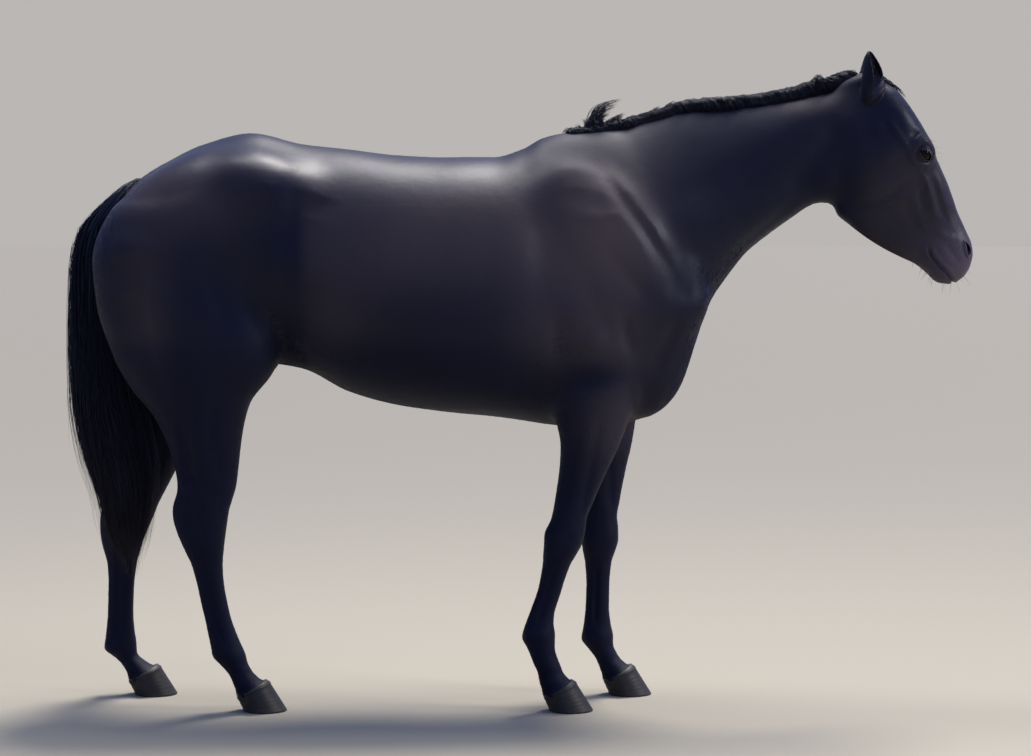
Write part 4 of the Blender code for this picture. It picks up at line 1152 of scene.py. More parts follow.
def unwrapped(points):
    """Each point's place on an unwrap of the skin: trunk, head and each leg rolled out in its own strip."""
    x, y, z = points.T
    s, r = along_head(points)
    u = 0.02 + 0.96 * np.clip((x + 1.15) / 2.05, 0, 1)
    v = 0.26 + 0.22 * np.arctan2(y, z - np.interp(x, (0.3, 0.9), (1.2, 1.55))) / np.pi
    head = of_head(points)
    u = np.where(head, 0.02 + 0.46 * np.clip((s + 0.15) / 0.80, 0, 1), u)
    v = np.where(head, 0.62 + 0.11 * np.arctan2(y, r + 0.04) / np.pi, v)
    for i, (name, (_, _, side)) in enumerate(LEGS.items()):
        centre_x, centre_y = LEG_LINES[name]
        ahead, aside = x - np.interp(z, *centre_x), y - np.interp(z, *centre_y)
        leg = (z < LEG_TOP) & (y * side > 0.02) & (np.abs(ahead) < 0.18)
        u = np.where(leg, 0.52 + 0.46 * np.clip((z + 0.02) / 0.84, 0, 1), u)
        v = np.where(leg, 0.57 + 0.115 * i + 0.05 * np.arctan2(aside, ahead) / np.pi, v)
    return np.stack([u, v], axis=1)


# How wide a lock's or tuft's patch is on the map.
PATCH = 0.003


def hair_mesh(name, points, quads, triangles):
    corners = np.concatenate([quads.ravel(), triangles.ravel()]).astype(np.int32)
    sizes = np.concatenate([np.full(len(quads), 4), np.full(len(triangles), 3)])
    mesh = bpy.data.meshes.new(name)
    mesh.vertices.add(len(points))
    mesh.vertices.foreach_set("co", (points + SHIFT).astype(np.float32).ravel())
    mesh.loops.add(len(corners))
    mesh.loops.foreach_set("vertex_index", corners)
    mesh.polygons.add(len(sizes))
    mesh.polygons.foreach_set("loop_start", np.concatenate([[0], np.cumsum(sizes)[:-1]]).astype(np.int32))
    mesh.polygons.foreach_set("loop_total", sizes.astype(np.int32))
    mesh.update(calc_edges=True)
    mesh.validate()
    mesh.shade_smooth()
    return put(name, mesh)


def finish_hair(thing, place, along, shade):
    """Gives hair its OFBake map, a patch by each root's place, and the values its look reads."""
    mesh = thing.data
    corner = np.zeros(len(mesh.loops), np.int32)
    mesh.loops.foreach_get("vertex_index", corner)
    mesh.uv_layers.new(name="OFBake").data.foreach_set("uv", place[corner].astype(np.float32).ravel())
    point_values(thing, "along", along)
    point_values(thing, "shade", shade)
    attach(thing, "root")


def locks(name, paths, flat, widths, unwrap, shade):
    """Joined tapering locks along paths (lock, point, xyz), each of flat three-sided sections.

    A section's half width is the lock's times 1.02 - t^2.2, a little less at the root. flat is the direction
    out of the coat at each point, and widths are the locks' full ones.
    """
    count, steps = paths.shape[:2]
    t = np.linspace(0, 1, steps)
    ahead = unit(np.gradient(paths, axis=1))
    out = unit(square_to(flat, ahead))
    taper = np.clip(1.02 - t**2.2, 0.02, 1) * np.minimum(1, 0.55 + 2.5 * t)
    half = (widths[:, None] / 2 * taper)[..., None]
    across = np.cross(ahead, out) * half
    points = np.stack([paths - across, paths + out * half * 0.9, paths + across], axis=2).reshape(-1, 3)
    base = np.arange(count)[:, None, None] * steps * 3 + np.arange(steps - 1)[None, :, None] * 3
    corner = np.arange(3)
    beside = (corner + 1) % 3
    quads = np.stack([base + corner, base + beside, base + 3 + beside, base + 3 + corner], axis=-1)
    ends = np.arange(count)[:, None] * steps * 3
    caps = np.concatenate([ends + np.array([[2, 1, 0]]), ends + (steps - 1) * 3 + np.array([[0, 1, 2]])])
    thing = hair_mesh(name, points, quads.reshape(-1, 4), caps)
    within = np.stack([np.tile([-0.5, 0, 0.5], steps), np.repeat(t - 0.5, 3)], axis=1)
    place = np.repeat(unwrap, steps * 3, axis=0) + PATCH * np.tile(within, (count, 1))
    finish_hair(thing, place, np.tile(np.repeat(t, 3), count), np.repeat(shade, steps * 3))
    return thing


def draped(roots, start, pull, length, lift, steps, wave=0.0, rise=0.0):
    """Paths that leave roots along start, turn to pull and lie over the flesh at the height of lift.

    Each step goes on by length / steps, then moves out until the field there is at least lift, or back
    towards it. rise adds to lift over the first half, and wave bends a path to and fro in the end.
    """
    count = len(roots)
    out = unit(slope_of(roots, flesh)[1])
    place, heading = roots, unit(square_to(start, out) + 0.15 * out)
    paths, outs = [roots], [out]
    for t in np.arange(1, steps) / (steps - 1):
        heading = unit(heading + pull * (0.25 + 0.9 * t))
        ahead = place + heading * (length / (steps - 1))[:, None]
        value, slope = slope_of(ahead, flesh)
        out = unit(slope)
        level = lift + rise * ease(t, 0, 0.12) * ease(-t, -0.60, -0.12)
        need = np.maximum(level - value, 0) + np.minimum(level + 0.003 - value, 0) * 0.6
        ahead = ahead + out * need[:, None]
        heading = unit(ahead - place)
        place = ahead
        paths.append(place)
        outs.append(out)
    paths = np.stack(paths, axis=1)
    if wave:
        t = np.linspace(0, 1, steps)
        phase = RNG.uniform(0, 2 * np.pi, (count, 1))
        paths[..., 0] += wave * t * np.sin(phase + t * RNG.uniform(3, 8, (count, 1)))
    return paths, np.stack(outs, axis=1)


def clumped(place, size):
    """The place at which each one's clump of locks begins, for clumps of that size."""
    return np.floor(place / size) * size


def crest_point(x):
    return np.interp(x, CREST_X, CREST_Z)


def on_crest(x, y):
    """The flesh's surface at each x and y under the crest line, by halving the gap from inside to outside."""
    low, high = crest_point(x) - 0.10, crest_point(x) + 0.02
    for _ in range(14):
        z = (low + high) / 2
        within = flesh(spots(x, y, z)) < 0
        low, high = np.where(within, z, low), np.where(within, high, z)
    return spots(x, y, low)


def mane_rise(x):
    """How far the mane stands up over the flesh before it falls to the far side."""
    return np.clip(crest_point(x) - on_crest(x, 0)[:, 2] - 0.010, 0, 0.032)


def mane_length(x):
    return 0.175 * np.interp(x, (0.13, 0.20, 0.35, 0.60, 0.85, 0.92), (0.45, 0.65, 0.9, 1.0, 1.0, 0.75))


def mane_core():
    """The mane's dense under-layer: a furrowed shell from the near edge of the crest over to the far side.

    Its thickness is 5.5 mm plus three sines along the crest, eased in at the root, times 1 - 0.75 t^3.
    """
    columns, steps = 170, 16
    x = np.linspace(MANE_X, 0.906, columns)
    roots = on_crest(x, -0.013)
    start, pull = spots(0 * x, 1.0, 0.30), spots(0 * x - 0.02, 0.40, -0.85)
    length = mane_length(x) * (0.78 + 0.10 * np.sin(x * 137) * np.sin(x * 61 + 1)) + 0.02
    paths, outs = draped(roots, start, pull, length, 0.0015, steps, rise=mane_rise(x))
    t = np.linspace(0, 1, steps)
    furrow = 0.0009 * np.sin(x * 420) + 0.0007 * np.sin(x * 910 + 1) + 0.0006 * np.sin(x * 1730)
    thick = (0.0055 + furrow)[:, None] * ease(t, -0.05, 0.40) * (1 - 0.75 * t**3)
    thick = thick * ease(x, 0.128, 0.16)[:, None]
    upper, under = paths + outs * thick[..., None], paths - outs * 0.0060
    thing = tube("mane_core", np.concatenate([upper, under[:, ::-1]], axis=1))
    shade = np.repeat(0.4 + 0.3 * np.sin(x * 640), 2 * steps)
    place = unwrapped(np.repeat(roots, 2 * steps, axis=0))
    finish_hair(thing, place, np.tile(np.concatenate([t, t[::-1]]), columns), shade)
    return thing


def mane():
    """Locks draped from the crest that part to the left, rise, and hang down the far side in clumps."""
    count = 3100
    x = MANE_X + 0.780 * RNG.uniform(0, 1, count) ** 0.95
    y = -0.0160 + 0.024 * RNG.uniform(0, 1, count) ** 1.6 - 0.008 * RNG.uniform(0, 1, count) ** 3
    roots = on_crest(x, y)
    start = spots(RNG.normal(-0.75, 0.30, count), 1.0, RNG.normal(0.1, 0.05, count))
    clump = clumped(x, 0.012)
    sway = 0.12 * np.sin(clump * 61.0) + 0.08 * np.sin(clump * 143.0)
    pull = spots(sway + RNG.normal(-0.06, 0.05, count), 0.45, -0.85)
    length = mane_length(x) * RNG.uniform(0.65, 1.15, count) * (1 + 0.10 * np.sin(clump * 97))
    lift = 0.0040 + 0.0060 * RNG.uniform(0, 1, count)
    rise = mane_rise(x) * RNG.uniform(0.85, 1.12, count)
    paths, outs = draped(roots, start, pull, length, lift, 11, 0.002, rise)
    return paths, outs, RNG.uniform(0.0016, 0.0034, count), roots


# Hair blown up over the withers: middle, spread, height and lean of each group, and how many hairs it has.
WISPS = (
    (0.196, 0.026, 0.088, 0.070, 150),
    (0.228, 0.018, 0.034, 0.026, 60),
    (0.252, 0.016, 0.036, 0.018, 80),
    (0.176, 0.014, 0.036, -0.012, 80),
    (0.152, 0.012, 0.022, -0.010, 50),
    (0.282, 0.014, 0.020, 0.010, 50),
    (0.352, 0.012, 0.024, 0.012, 40),
    (0.392, 0.012, 0.026, 0.012, 44),
    (0.436, 0.012, 0.022, 0.010, 36),
    (0.520, 0.010, 0.014, 0.008, 26),
)


def wisps():
    """A lick that curls up and forward, and short soft spikes: root (1 - t) + tip t + bow sin(pi t)."""
    roots, tips, bows = [], [], []
    for x, spread, tall, lean, count in WISPS:
        along = x + spread * RNG.uniform(-1, 1, count)
        root = settled(spots(along, RNG.normal(0, 0.004, count), crest_point(along) - 0.004), 4, flesh)
        reach = tall * (0.25 + 0.75 * RNG.uniform(0, 1, count) ** 0.8) + mane_rise(along)
        ahead = lean * reach / tall + 0.55 * (x - along)
        roots.append(root)
        tips.append(root + spots(ahead, RNG.normal(0.003, 0.004, count), reach))
        bows.append(np.outer(reach, (-0.30 if lean > 0 else 0.20, 0.0, 0.22)))
    roots, tips, bows = np.concatenate(roots), np.concatenate(tips), np.concatenate(bows)
    t = np.linspace(0, 1, 9)[None, :, None]
    paths = roots[:, None] * (1 - t) + tips[:, None] * t + bows[:, None] * np.sin(np.pi * t)
    paths[:, 0, 2] -= 0.003
    outs = np.broadcast_to(np.array([0.3, -1.0, 0.2]), paths.shape)
    return paths, outs, RNG.uniform(0.0009, 0.0017, len(roots)), roots


def forelock():
    """Short locks draped from the poll: they fall between the ears and lie on the top of the forehead."""
    count = 260
    roots = settled(spots(RNG.uniform(0.915, 0.985, count), RNG.normal(0, 0.014, count), 1.70), 4, flesh)
    start = spots(0.95, RNG.normal(0, 0.16, count), 0.10)
    pull = spots(0.30, RNG.normal(0, 0.08, count), -0.95)
    length = RNG.uniform(0.045, 0.105, count) * (1 - 0.25 * np.abs(roots[:, 1]) / 0.014)
    lift = 0.001 + 0.005 * RNG.uniform(0, 1, count)
    paths, outs = draped(roots, start, pull, np.maximum(length, 0.03), lift, 9, 0.002)
    return paths, outs, RNG.uniform(0.0014, 0.0034, count), roots


# The tail hangs from the dock's root, and its map is unrolled from there.
DOCK_Z = 1.42
TAIL_ROWS = np.array(sorted(TAIL))


def tail_section(heights, spread, angle):
    """x and y on a share of the tail's oval: its middle plus half its length by cos, its width by sin."""
    front, back, width = (line(TAIL_ROWS[:, 0], TAIL_ROWS[:, k], heights) for k in (1, 2, 3))
    return (front + back) / 2 + (front - back) / 2 * spread * np.cos(angle), width * spread * np.sin(angle)


def tail_hair(count, depths, widths, loose):
    """Locks that leave the dock and hang down its skirt, each at its own share of the oval at every level."""
    begin = 1.412 - 0.40 * RNG.uniform(0, 1, count) ** 1.25
    angle = RNG.uniform(0, 2 * np.pi, count)
    clump = clumped(angle, 0.16)
    depth = RNG.uniform(*depths, count)
    end = 0.372 + 0.34 * RNG.uniform(0, 1, count) ** 1.8 + 0.05 * np.sin(clump * 7)
    t = np.linspace(0, 1, 15)
    z = begin[:, None] + (end - begin)[:, None] * t
    spread = depth[:, None] * (0.55 + 0.45 * ease(t, 0.0, 0.12))
    spread = np.where(begin[:, None] > 1.38, np.maximum(spread, depth[:, None] * 0.9), spread)
    drift = angle[:, None] + (clump - angle)[:, None] * 0.6 * t + 0.15 * np.sin(t * 5 + clump[:, None] * 3)
    x, y = tail_section(z, spread, drift)
    stray = RNG.normal(0, 0.004 + 0.010 * loose, (count, 1)) * t**2
    wave = np.sin(t * RNG.uniform(8, 18, (count, 1)) + RNG.uniform(0, 6, (count, 1)))
    paths = spots(x + stray, y * 0.98 + (0.002 + 0.004 * loose) * wave * t, z)
    place = np.stack([0.02 + 0.46 * angle / (2 * np.pi), 0.80 + 0.40 * (DOCK_Z - begin)], axis=1)
    return paths, spots(np.cos(drift), np.sin(drift), 0), RNG.uniform(*widths, count), place


def tail_core():
    """The dock and the dense hair under the locks: the tail's ovals at 0.86, furrowed by two sines."""
    levels, around = 90, 96
    heights = np.linspace(TAIL_ROWS[0, 0] + 0.02, TAIL_ROWS[-1, 0] - 0.003, levels)[:, None]
    angle = np.arange(around) * 2 * np.pi / around
    furrow = 0.86 + 0.035 * np.sin(angle * 13 + heights * 9) + 0.03 * np.sin(angle * 29 - heights * 14)
    drawn_in = 0.10 + 0.90 * ease(heights, TAIL_ROWS[0, 0], TAIL_ROWS[0, 0] + 0.20)
    x, y = tail_section(heights, (furrow - 0.12 * ease(heights, 1.36, DOCK_Z)) * drawn_in, angle)
    points = spots(x, y, heights)
    thing = tube("tail_core", points)
    down = DOCK_Z - points[..., 2].ravel()
    place = np.stack([0.02 + 0.46 * np.tile(angle, levels) / (2 * np.pi), 0.80 + 0.18 * down / 1.1], axis=1)
    finish_hair(thing, place, np.clip(down / 1.05, 0, 1), np.full(len(down), 0.3))
    return thing


long_hair = []
for name, grow, node in (("mane_locks", mane, "mane"), ("mane_wisps", wisps, "mane"),
                         ("forelock_locks", forelock, "forelock")):
    paths, outs, widths, roots = grow()
    long_hair.append(locks(name, paths, outs, widths, unwrapped(roots), RNG.uniform(0, 1, len(roots))))
    if grow is not wisps:
        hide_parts(node)
long_hair.append(mane_core())
tail = [tail_core()]
for name, *choice in (("tail_locks", 1500, (0.72, 1.0), (0.0030, 0.0065), 0),
                      ("tail_strands", 700, (0.95, 1.10), (0.0010, 0.0020), 1)):
    paths, outs, widths, place = tail_hair(*choice)
    tail.append(locks(name, paths, outs, widths, place, RNG.uniform(0, 1, len(place))))
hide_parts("tail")


# Short hair where the coat breaks the form, lashes, feelers and the hair in the ears.
rest_points = places(skin.verts)
skin_normals = np.array([vertex.normal for vertex in skin.verts])
skin_tree = BVHTree.FromBMesh(skin)
corners = np.zeros(3 * len(body.data.loop_triangles), np.int32)
body.data.loop_triangles.foreach_get("vertices", corners)
corners = corners.reshape(-1, 3)


def scattered(count, weight):
    """Random roots outside the openings, as dense as weight(points, normals), and the normals there."""
    corner = rest_points[corners]
    cross = np.cross(corner[:, 1] - corner[:, 0], corner[:, 2] - corner[:, 0])
    area = np.linalg.norm(cross, axis=1)
    chance = area * weight(corner.mean(axis=1), unit(cross)) * (inside[corners].max(axis=1) < 0.12)
    face = RNG.choice(len(corners), count, p=chance / chance.sum())
    a, b = RNG.uniform(0, 1, (2, count, 1))
    over = a + b > 1
    a, b = np.where(over, 1 - a, a), np.where(over, 1 - b, b)

    def between(values):
        return values[:, 0] * (1 - a - b) + values[:, 1] * a + values[:, 2] * b

    return between(corner[face]), unit(between(skin_normals[corners[face]]))


def over_skin(points, height):
    """The points moved along the skin's normal until they lie so high over the nearest place on its mesh."""
    near = [skin_tree.find_nearest(point)[:2] for point in points.tolist()]
    place, normal = np.array([found[0] for found in near]), np.array([found[1] for found in near])
    return points + normal * (height - ((points - place) * normal).sum(axis=1))[:, None]


TUFT_DEPTH = 0.0002


def tufts(name, roots, normals, length, height):
    """Flat closed tufts of four faces, from each root along the coat's lie to a tip over the skin.

    A tuft is 0.13 times as wide as it is long, and its ridge peaks at 0.4 of the way to the tip.
    """
    count = len(roots)
    way = unit(square_to(lie(roots) + RNG.normal(0, 0.12, (count, 3)), normals))
    across = np.cross(normals, way) * (length * 0.13 / 2)[:, None]
    low = roots - normals * TUFT_DEPTH
    tip = over_skin(roots + way * length[:, None], height)
    ridge = roots * 0.6 + tip * 0.4 + normals * TUFT_DEPTH
    points = np.stack([low - across, low + across, tip, ridge], axis=1).reshape(-1, 3)
    base = 4 * np.arange(count)[:, None, None]
    triangles = (base + np.array([[1, 0, 3], [2, 1, 3], [0, 2, 3], [0, 1, 2]])).reshape(-1, 3)
    thing = hair_mesh(name, points, np.zeros((0, 4), int), triangles)
    within = [[-0.5, -0.5], [0.5, -0.5], [0.0, 0.5], [0.0, 0.0]]
    place = np.repeat(unwrapped(roots), 4, axis=0) + PATCH * np.tile(within, (count, 1))
    thing.data.normals_split_custom_set_from_vertices(np.repeat(normals, 4, axis=0).tolist())
    finish_hair(thing, place, np.tile([0.0, 0.0, 1.0, 0.4], count), np.repeat(RNG.uniform(0, 1, count), 4))
    return thing, np.repeat(roots, 4, axis=0)


def trunk_weight(points, normals):
    """Under the belly, breast, buttocks and elbows, in the flank's fold, and a little along the back."""
    x, y, z = points.T
    trunk = (z > LEG_TOP) & ((x < 0.88) | (z < BREAST_Z))
    under = ease(-normals[:, 2], 0.45, 0.85) * (1 - 0.85 * ease(x, 0.40, 0.50))
    chest = ease(normals[:, 0], 0.45, 0.8) * ease(x, 0.25, 0.40)
    rump = ease(-normals[:, 0], 0.45, 0.8) * ease(-x, 0.70, 0.90)
    crest = ease(normals[:, 2], 0.75, 0.92) * ease(-np.abs(y), -0.06, -0.02)
    fold = bell(near_line(x, z, ((-0.60, 0.92), (-0.66, 0.98), (-0.69, 1.08)))[0], 0, 0.035)
    elbow = bell(x, 0.10, 0.07) * bell(z, 0.93, 0.07)
    return trunk * (under + chest + rump + 0.15 * crest + 1.2 * fold + elbow)


def leg_weight(points, normals):
    """Over the legs, denser behind them, thickest behind the fetlocks and round the coronets."""
    z = points[:, 2]
    back = ease(-normals[:, 0], 0.2, 0.7)
    hair = 0.35 + 1.3 * back + 3.0 * back * ease(-z, -0.16, -0.06) + 1.5 * ease(-z, -0.075, -0.045)
    return ((z < LEG_TOP) & (z > 0.026)) * hair


def head_weight(points, normals):
    """Over the ears and under the jaw, sparse elsewhere and on the muzzle."""
    x, y, z = points.T
    s = along_head(points)[0]
    ear = ease(z, 1.66, 1.70) * ease(np.abs(y), 0.02, 0.04)
    jaw = ease(-normals[:, 2], 0.45, 0.80)
    muzzle_free = 1 - 0.75 * ease(s, 0.47, 0.53)
    return of_head(points) * (0.06 + 1.6 * jaw + 1.6 * ear) * muzzle_free * ease(x, THROAT_X, 0.94)


# Each piece of the coat: how many tufts, where they are, how long they are and how far they stand off.
COAT_PIECES = (
    ("coat_trunk", 42000, trunk_weight, 0.014, 0.0010),
    ("coat_legs", 34000, leg_weight, 0.010, 0.0009),
    ("coat_head", 30000, head_weight, 0.0062, 0.0006),
)
short_hair = []
for name, count, weight, reach, stand in COAT_PIECES:
    roots, normals = scattered(count, weight)
    length = reach * RNG.uniform(0.6, 1.2, count)
    height = stand * RNG.uniform(0.3, 1.0, count)
    if name == "coat_legs":
        foot = ease(-roots[:, 2], -0.17, -0.07) * ease(-normals[:, 0], 0.1, 0.6)
        length, height = length * (1 + 1.3 * foot), height + 0.0035 * foot * RNG.uniform(0, 1, count)
    short_hair.append(tufts(name, roots, normals, length, height))


def bent(roots, way, fall, length, steps=6):
    """Paths from roots along way that bend towards fall: root + length (way t + fall t^2)."""
    t = np.linspace(0, 1, steps)[None, :, None]
    return roots[:, None] + length[:, None, None] * (way[:, None] * t + fall[:, None] * t * t)


def lashes(side):
    """Lashes on the upper lid, longest in its middle, that point out and bend a little down."""
    count = 70
    patch = eye_patch(side)
    angle = np.radians(RNG.uniform(18, 165, count))
    u, v = almond(angle, *EYE_OPENING)
    roots = patch.world(u, v, over_ball(u, v, 0.0030))
    along, up, out = patch.axes
    way = out + 0.25 * up + np.outer(np.cos(angle) * 0.35, along) + RNG.normal(0, 0.08, (count, 3))
    fall = np.broadcast_to(-0.55 * up, way.shape)
    length = 0.013 * (0.6 + 0.4 * np.sin(angle)) * RNG.uniform(0.7, 1.1, count)
    return bent(roots, unit(way), fall, length), roots, np.full(count, 0.0009)


def feelers(side):
    """Long single hairs on the lips, chin and round the nostril, and a few over and under the eye."""
    def near(points, _):
        s, r = along_head(points)
        lips = ease(s, 0.50, 0.55) * (r < 0.03)
        eye = bell(np.hypot(s - EYE_ALONG, r - 0.040), 0.040, 0.006) * 0.5
        return (points[:, 0] > 0.9) * (points[:, 1] * side > 0.012) * (lips + eye)

    roots, normals = scattered(42, near)
    way = unit(normals + 0.35 * FACE_DOWN + RNG.normal(0, 0.15, roots.shape))
    fall = np.broadcast_to(np.array([0.0, 0.0, -0.25]), way.shape)
    return bent(roots, way, fall, RNG.uniform(0.012, 0.034, len(roots))), roots, np.full(len(roots), 0.0007)


def ear_hair(side):
    """Soft hair that leans out of the ear's opening from both its rims."""
    count = 260
    patch = ear_patch(side)
    t = RNG.uniform(0.42, 0.93, count)
    edge = np.where(RNG.uniform(0, 1, count) < 0.5, -1.0, 1.0)
    width = ear_half_width(t) - 0.002
    turn = np.radians(RNG.uniform(88, 112, count)) * edge
    u = -width * 0.95 * np.cos(turn) + 0.012 * np.sin(np.pi * t) - 0.005
    v = width * np.sin(turn)
    roots = patch.world(u, v - 0.004 * t * t, t * (EAR_LENGTH - COAT_DEPTH))
    along, across, up = patch.axes
    way = 0.55 * along + 0.75 * up - np.outer(edge * 0.55, across) + RNG.normal(0, 0.14, (count, 3))
    fall = np.broadcast_to(0.15 * along, way.shape)
    length = 0.016 * RNG.uniform(0.5, 1.1, count) * (1.15 - 0.6 * t)
    return bent(roots, unit(way), fall, length, 5), roots, np.full(count, 0.0011)


for name, grow in (("lashes", lashes), ("feelers", feelers), ("ear_hair", ear_hair)):
    sets = [grow(side) for side in (RIGHT, LEFT)]
    paths, roots, widths = (np.concatenate(group) for group in zip(*sets))
    outs = np.broadcast_to(np.array([0.3, 0.2, 1.0]), paths.shape)
    long_hair.append(locks(name, paths, outs, widths, unwrapped(roots), np.full(len(roots), 0.2)))


class Wire:
    """A value on its way through a material's nodes. Arithmetic on it adds Math nodes."""

    def __init__(self, finish, socket):
        self.finish, self.socket = finish, socket

    def maths(self, operation, first, second):
        return self.finish.node("ShaderNodeMath", {"operation": operation}, {0: first, 1: second})

    def __add__(self, other):
        return self.maths("ADD", self, other)

    def __sub__(self, other):
        return self.maths("SUBTRACT", self, other)

    def __rsub__(self, other):
        return self.maths("SUBTRACT", other, self)

    def __mul__(self, other):
        return self.maths("MULTIPLY", self, other)

    def __pow__(self, other):
        return self.maths("POWER", self, other)

    __radd__, __rmul__ = __add__, __mul__

    def rise(self, low, high):
        """0 below low and 1 above high, smoothly."""
        values = {"Value": self, "From Min": low, "From Max": high}
        return self.finish.node("ShaderNodeMapRange", {"interpolation_type": "SMOOTHSTEP"}, values)


class Finish:
    """A material round one Principled shader. Constants are set on the shader's own sockets."""

    def __init__(self, name, **constants):
        self.material = bpy.data.materials.new(name)
        self.material.use_nodes = True
        self.tree = self.material.node_tree
        self.shader = self.tree.nodes["Principled BSDF"]
        for socket, value in constants.items():
            self.shader.inputs[socket.replace("_", " ")].default_value = value

    def node(self, kind, settings=(), values=(), output=0):
        """Any node: its kind, its settings, the numbers or wires of its sockets, and which output goes on."""
        made_node = self.tree.nodes.new(kind)
        for setting, value in dict(settings).items():
            setattr(made_node, setting, value)
        for socket, value in dict(values).items():
            if isinstance(value, Wire):
                self.tree.links.new(value.socket, made_node.inputs[socket])
            else:
                made_node.inputs[socket].default_value = value
        return Wire(self, made_node.outputs[output])

    def place(self):
        return self.node("ShaderNodeTexCoord", output="Object")

    def stretched(self, turn, length, width):
        """Coordinates for hairs of that length and width, along the x axis tilted by turn degrees."""
        values = {"Rotation": (0, math.radians(turn), 0), "Scale": (length, width, width)}
        values["Vector"] = self.place()
        return self.node("ShaderNodeMapping", {"vector_type": "TEXTURE"}, values)

    def noise(self, vector, scale, detail=2.0, roughness=0.5):
        values = {"Vector": vector, "Scale": scale, "Detail": detail, "Roughness": roughness}
        return self.node("ShaderNodeTexNoise", {}, values)

    def value(self, attribute):
        return self.node("ShaderNodeAttribute", {"attribute_name": attribute}, output="Fac")

    def mix(self, amount, first, second):
        colours = {0: amount, 6: first, 7: second}
        return self.node("ShaderNodeMix", {"data_type": "RGBA"}, colours, output=2)

    def bump(self, height, distance, strength=1.0, under=None):
        values = {"Height": height, "Distance": distance, "Strength": strength}
        if under:
            values["Normal"] = under
        return self.node("ShaderNodeBump", {}, values)

    def feed(self, **wires):
        for socket, wire in wires.items():
            self.tree.links.new(wire.socket, self.shader.inputs[socket.replace("_", " ")])
        return self.material


def colour(red, green, blue):
    return (red, green, blue, 1.0)


# The blue in these blacks is a painted reflection of blue sky light on near-black brown coat and hair.
SKY_BLUED_BLACK_COAT, BROWN_COAT = colour(0.0032, 0.0036, 0.0150), colour(0.080, 0.060, 0.060)
SKY_BLUED_HAIR_BLACK, HAIR_BROWN = colour(0.0030, 0.0033, 0.0095), colour(0.036, 0.026, 0.024)
BARE_SKIN, MUZZLE = colour(0.012, 0.010, 0.012), colour(0.085, 0.067, 0.088)
HORN, WORN_HORN = colour(0.0075, 0.0068, 0.0068), colour(0.034, 0.027, 0.021)
SHORT_HAIR, LONG_HAIR = (0.014, 0.0018), (0.025, 0.0016)


def coat_look():
    """Short hair: blue-black, the blue a painted sky reflection, to brown by the markings, with fine streaks
    along its lie over soft veins.
    """
    # Its blue specular and sheen tints are a painted reflection of blue sky light.
    finish = Finish(
        "short glossy coat",
        Specular_IOR_Level=0.20,
        Specular_Tint=colour(0.80, 0.86, 1.0),
        Sheen_Weight=0.02,
        Sheen_Roughness=0.5,
        Sheen_Tint=colour(0.62, 0.72, 1.0),
    )
    broad = finish.noise(finish.place(), 3.5, 3.0)
    brown = finish.value("brown") + (broad - 0.5) * 0.18
    inner = finish.value("inside")
    tone = finish.mix(brown.rise(0.0, 1.0), SKY_BLUED_BLACK_COAT, BROWN_COAT)
    tone = finish.mix(finish.value("muzzle"), tone, MUZZLE)
    tone = finish.mix(inner.rise(0.1, 0.7), tone, BARE_SKIN)
    hair = finish.noise(finish.stretched(-16, *SHORT_HAIR), 1.0, 3.0, 0.6)
    for turn, where in ((-58, "steep"), (-90, "down"), (65, "face")):
        turned, share = finish.noise(finish.stretched(turn, *SHORT_HAIR), 1.0, 3.0, 0.6), finish.value(where)
        hair = hair * (1 - share) + turned * share
    veins = finish.noise(finish.place(), 26, 2.0)
    normal = finish.bump(veins, 0.0012, 0.5)
    normal = finish.bump(hair, 0.0007, 0.5, normal)
    rough = 0.42 + (hair - 0.5) * 0.18 + (broad - 0.5) * 0.14 + inner * 0.25 + finish.value("dull") * 0.30
    return finish.feed(Base_Color=tone, Roughness=rough, Normal=normal)


def hair_look(name, brown_at, roughness, black):
    """Long hair: near black, each lock a little lighter or darker, browner towards its tip."""
    # The blue specular tint is a painted reflection of blue sky light.
    finish = Finish(name, Specular_IOR_Level=0.32, Specular_Tint=colour(0.66, 0.76, 1.0))
    along, shade = finish.value("along"), finish.value("shade")
    tone = finish.mix((along * 0.8 + shade * 0.5).rise(brown_at, brown_at + 0.7), black, HAIR_BROWN)
    streak = finish.noise(finish.stretched(90, *LONG_HAIR), 1.0, 2.0)
    rough = roughness + (streak - 0.5) * 0.2
    return finish.feed(Base_Color=tone, Roughness=rough, Normal=finish.bump(streak, 0.0006, 0.4))


def hoof_look():
    """Dark horn: upright grain, growth rings, a paler worn band at the ground, and bare heels and coronet."""
    finish = Finish("dark horn", Specular_IOR_Level=0.4)
    height = finish.value("height")
    grain = finish.noise(finish.stretched(90, 0.038, 0.002), 1.0, 3.0)
    rings = finish.noise(finish.stretched(90, 0.0042, 0.07), 1.0, 2.0)
    tone = finish.mix((grain * 0.6 + rings * 0.4).rise(0.3, 0.7), HORN, colour(0.021, 0.0165, 0.0142))
    tone = finish.mix(height.rise(0.25, 0.0) * 0.6, tone, WORN_HORN)
    tone = finish.mix(height.rise(0.90, 1.0), tone, colour(0.014, 0.012, 0.012))
    tone = finish.mix(finish.value("heel"), tone, BARE_SKIN)
    normal = finish.bump(grain, 0.0006, 0.5, finish.bump(rings, 0.0005, 0.4))
    return finish.feed(Base_Color=tone, Roughness=0.42 + grain * 0.25, Normal=normal)


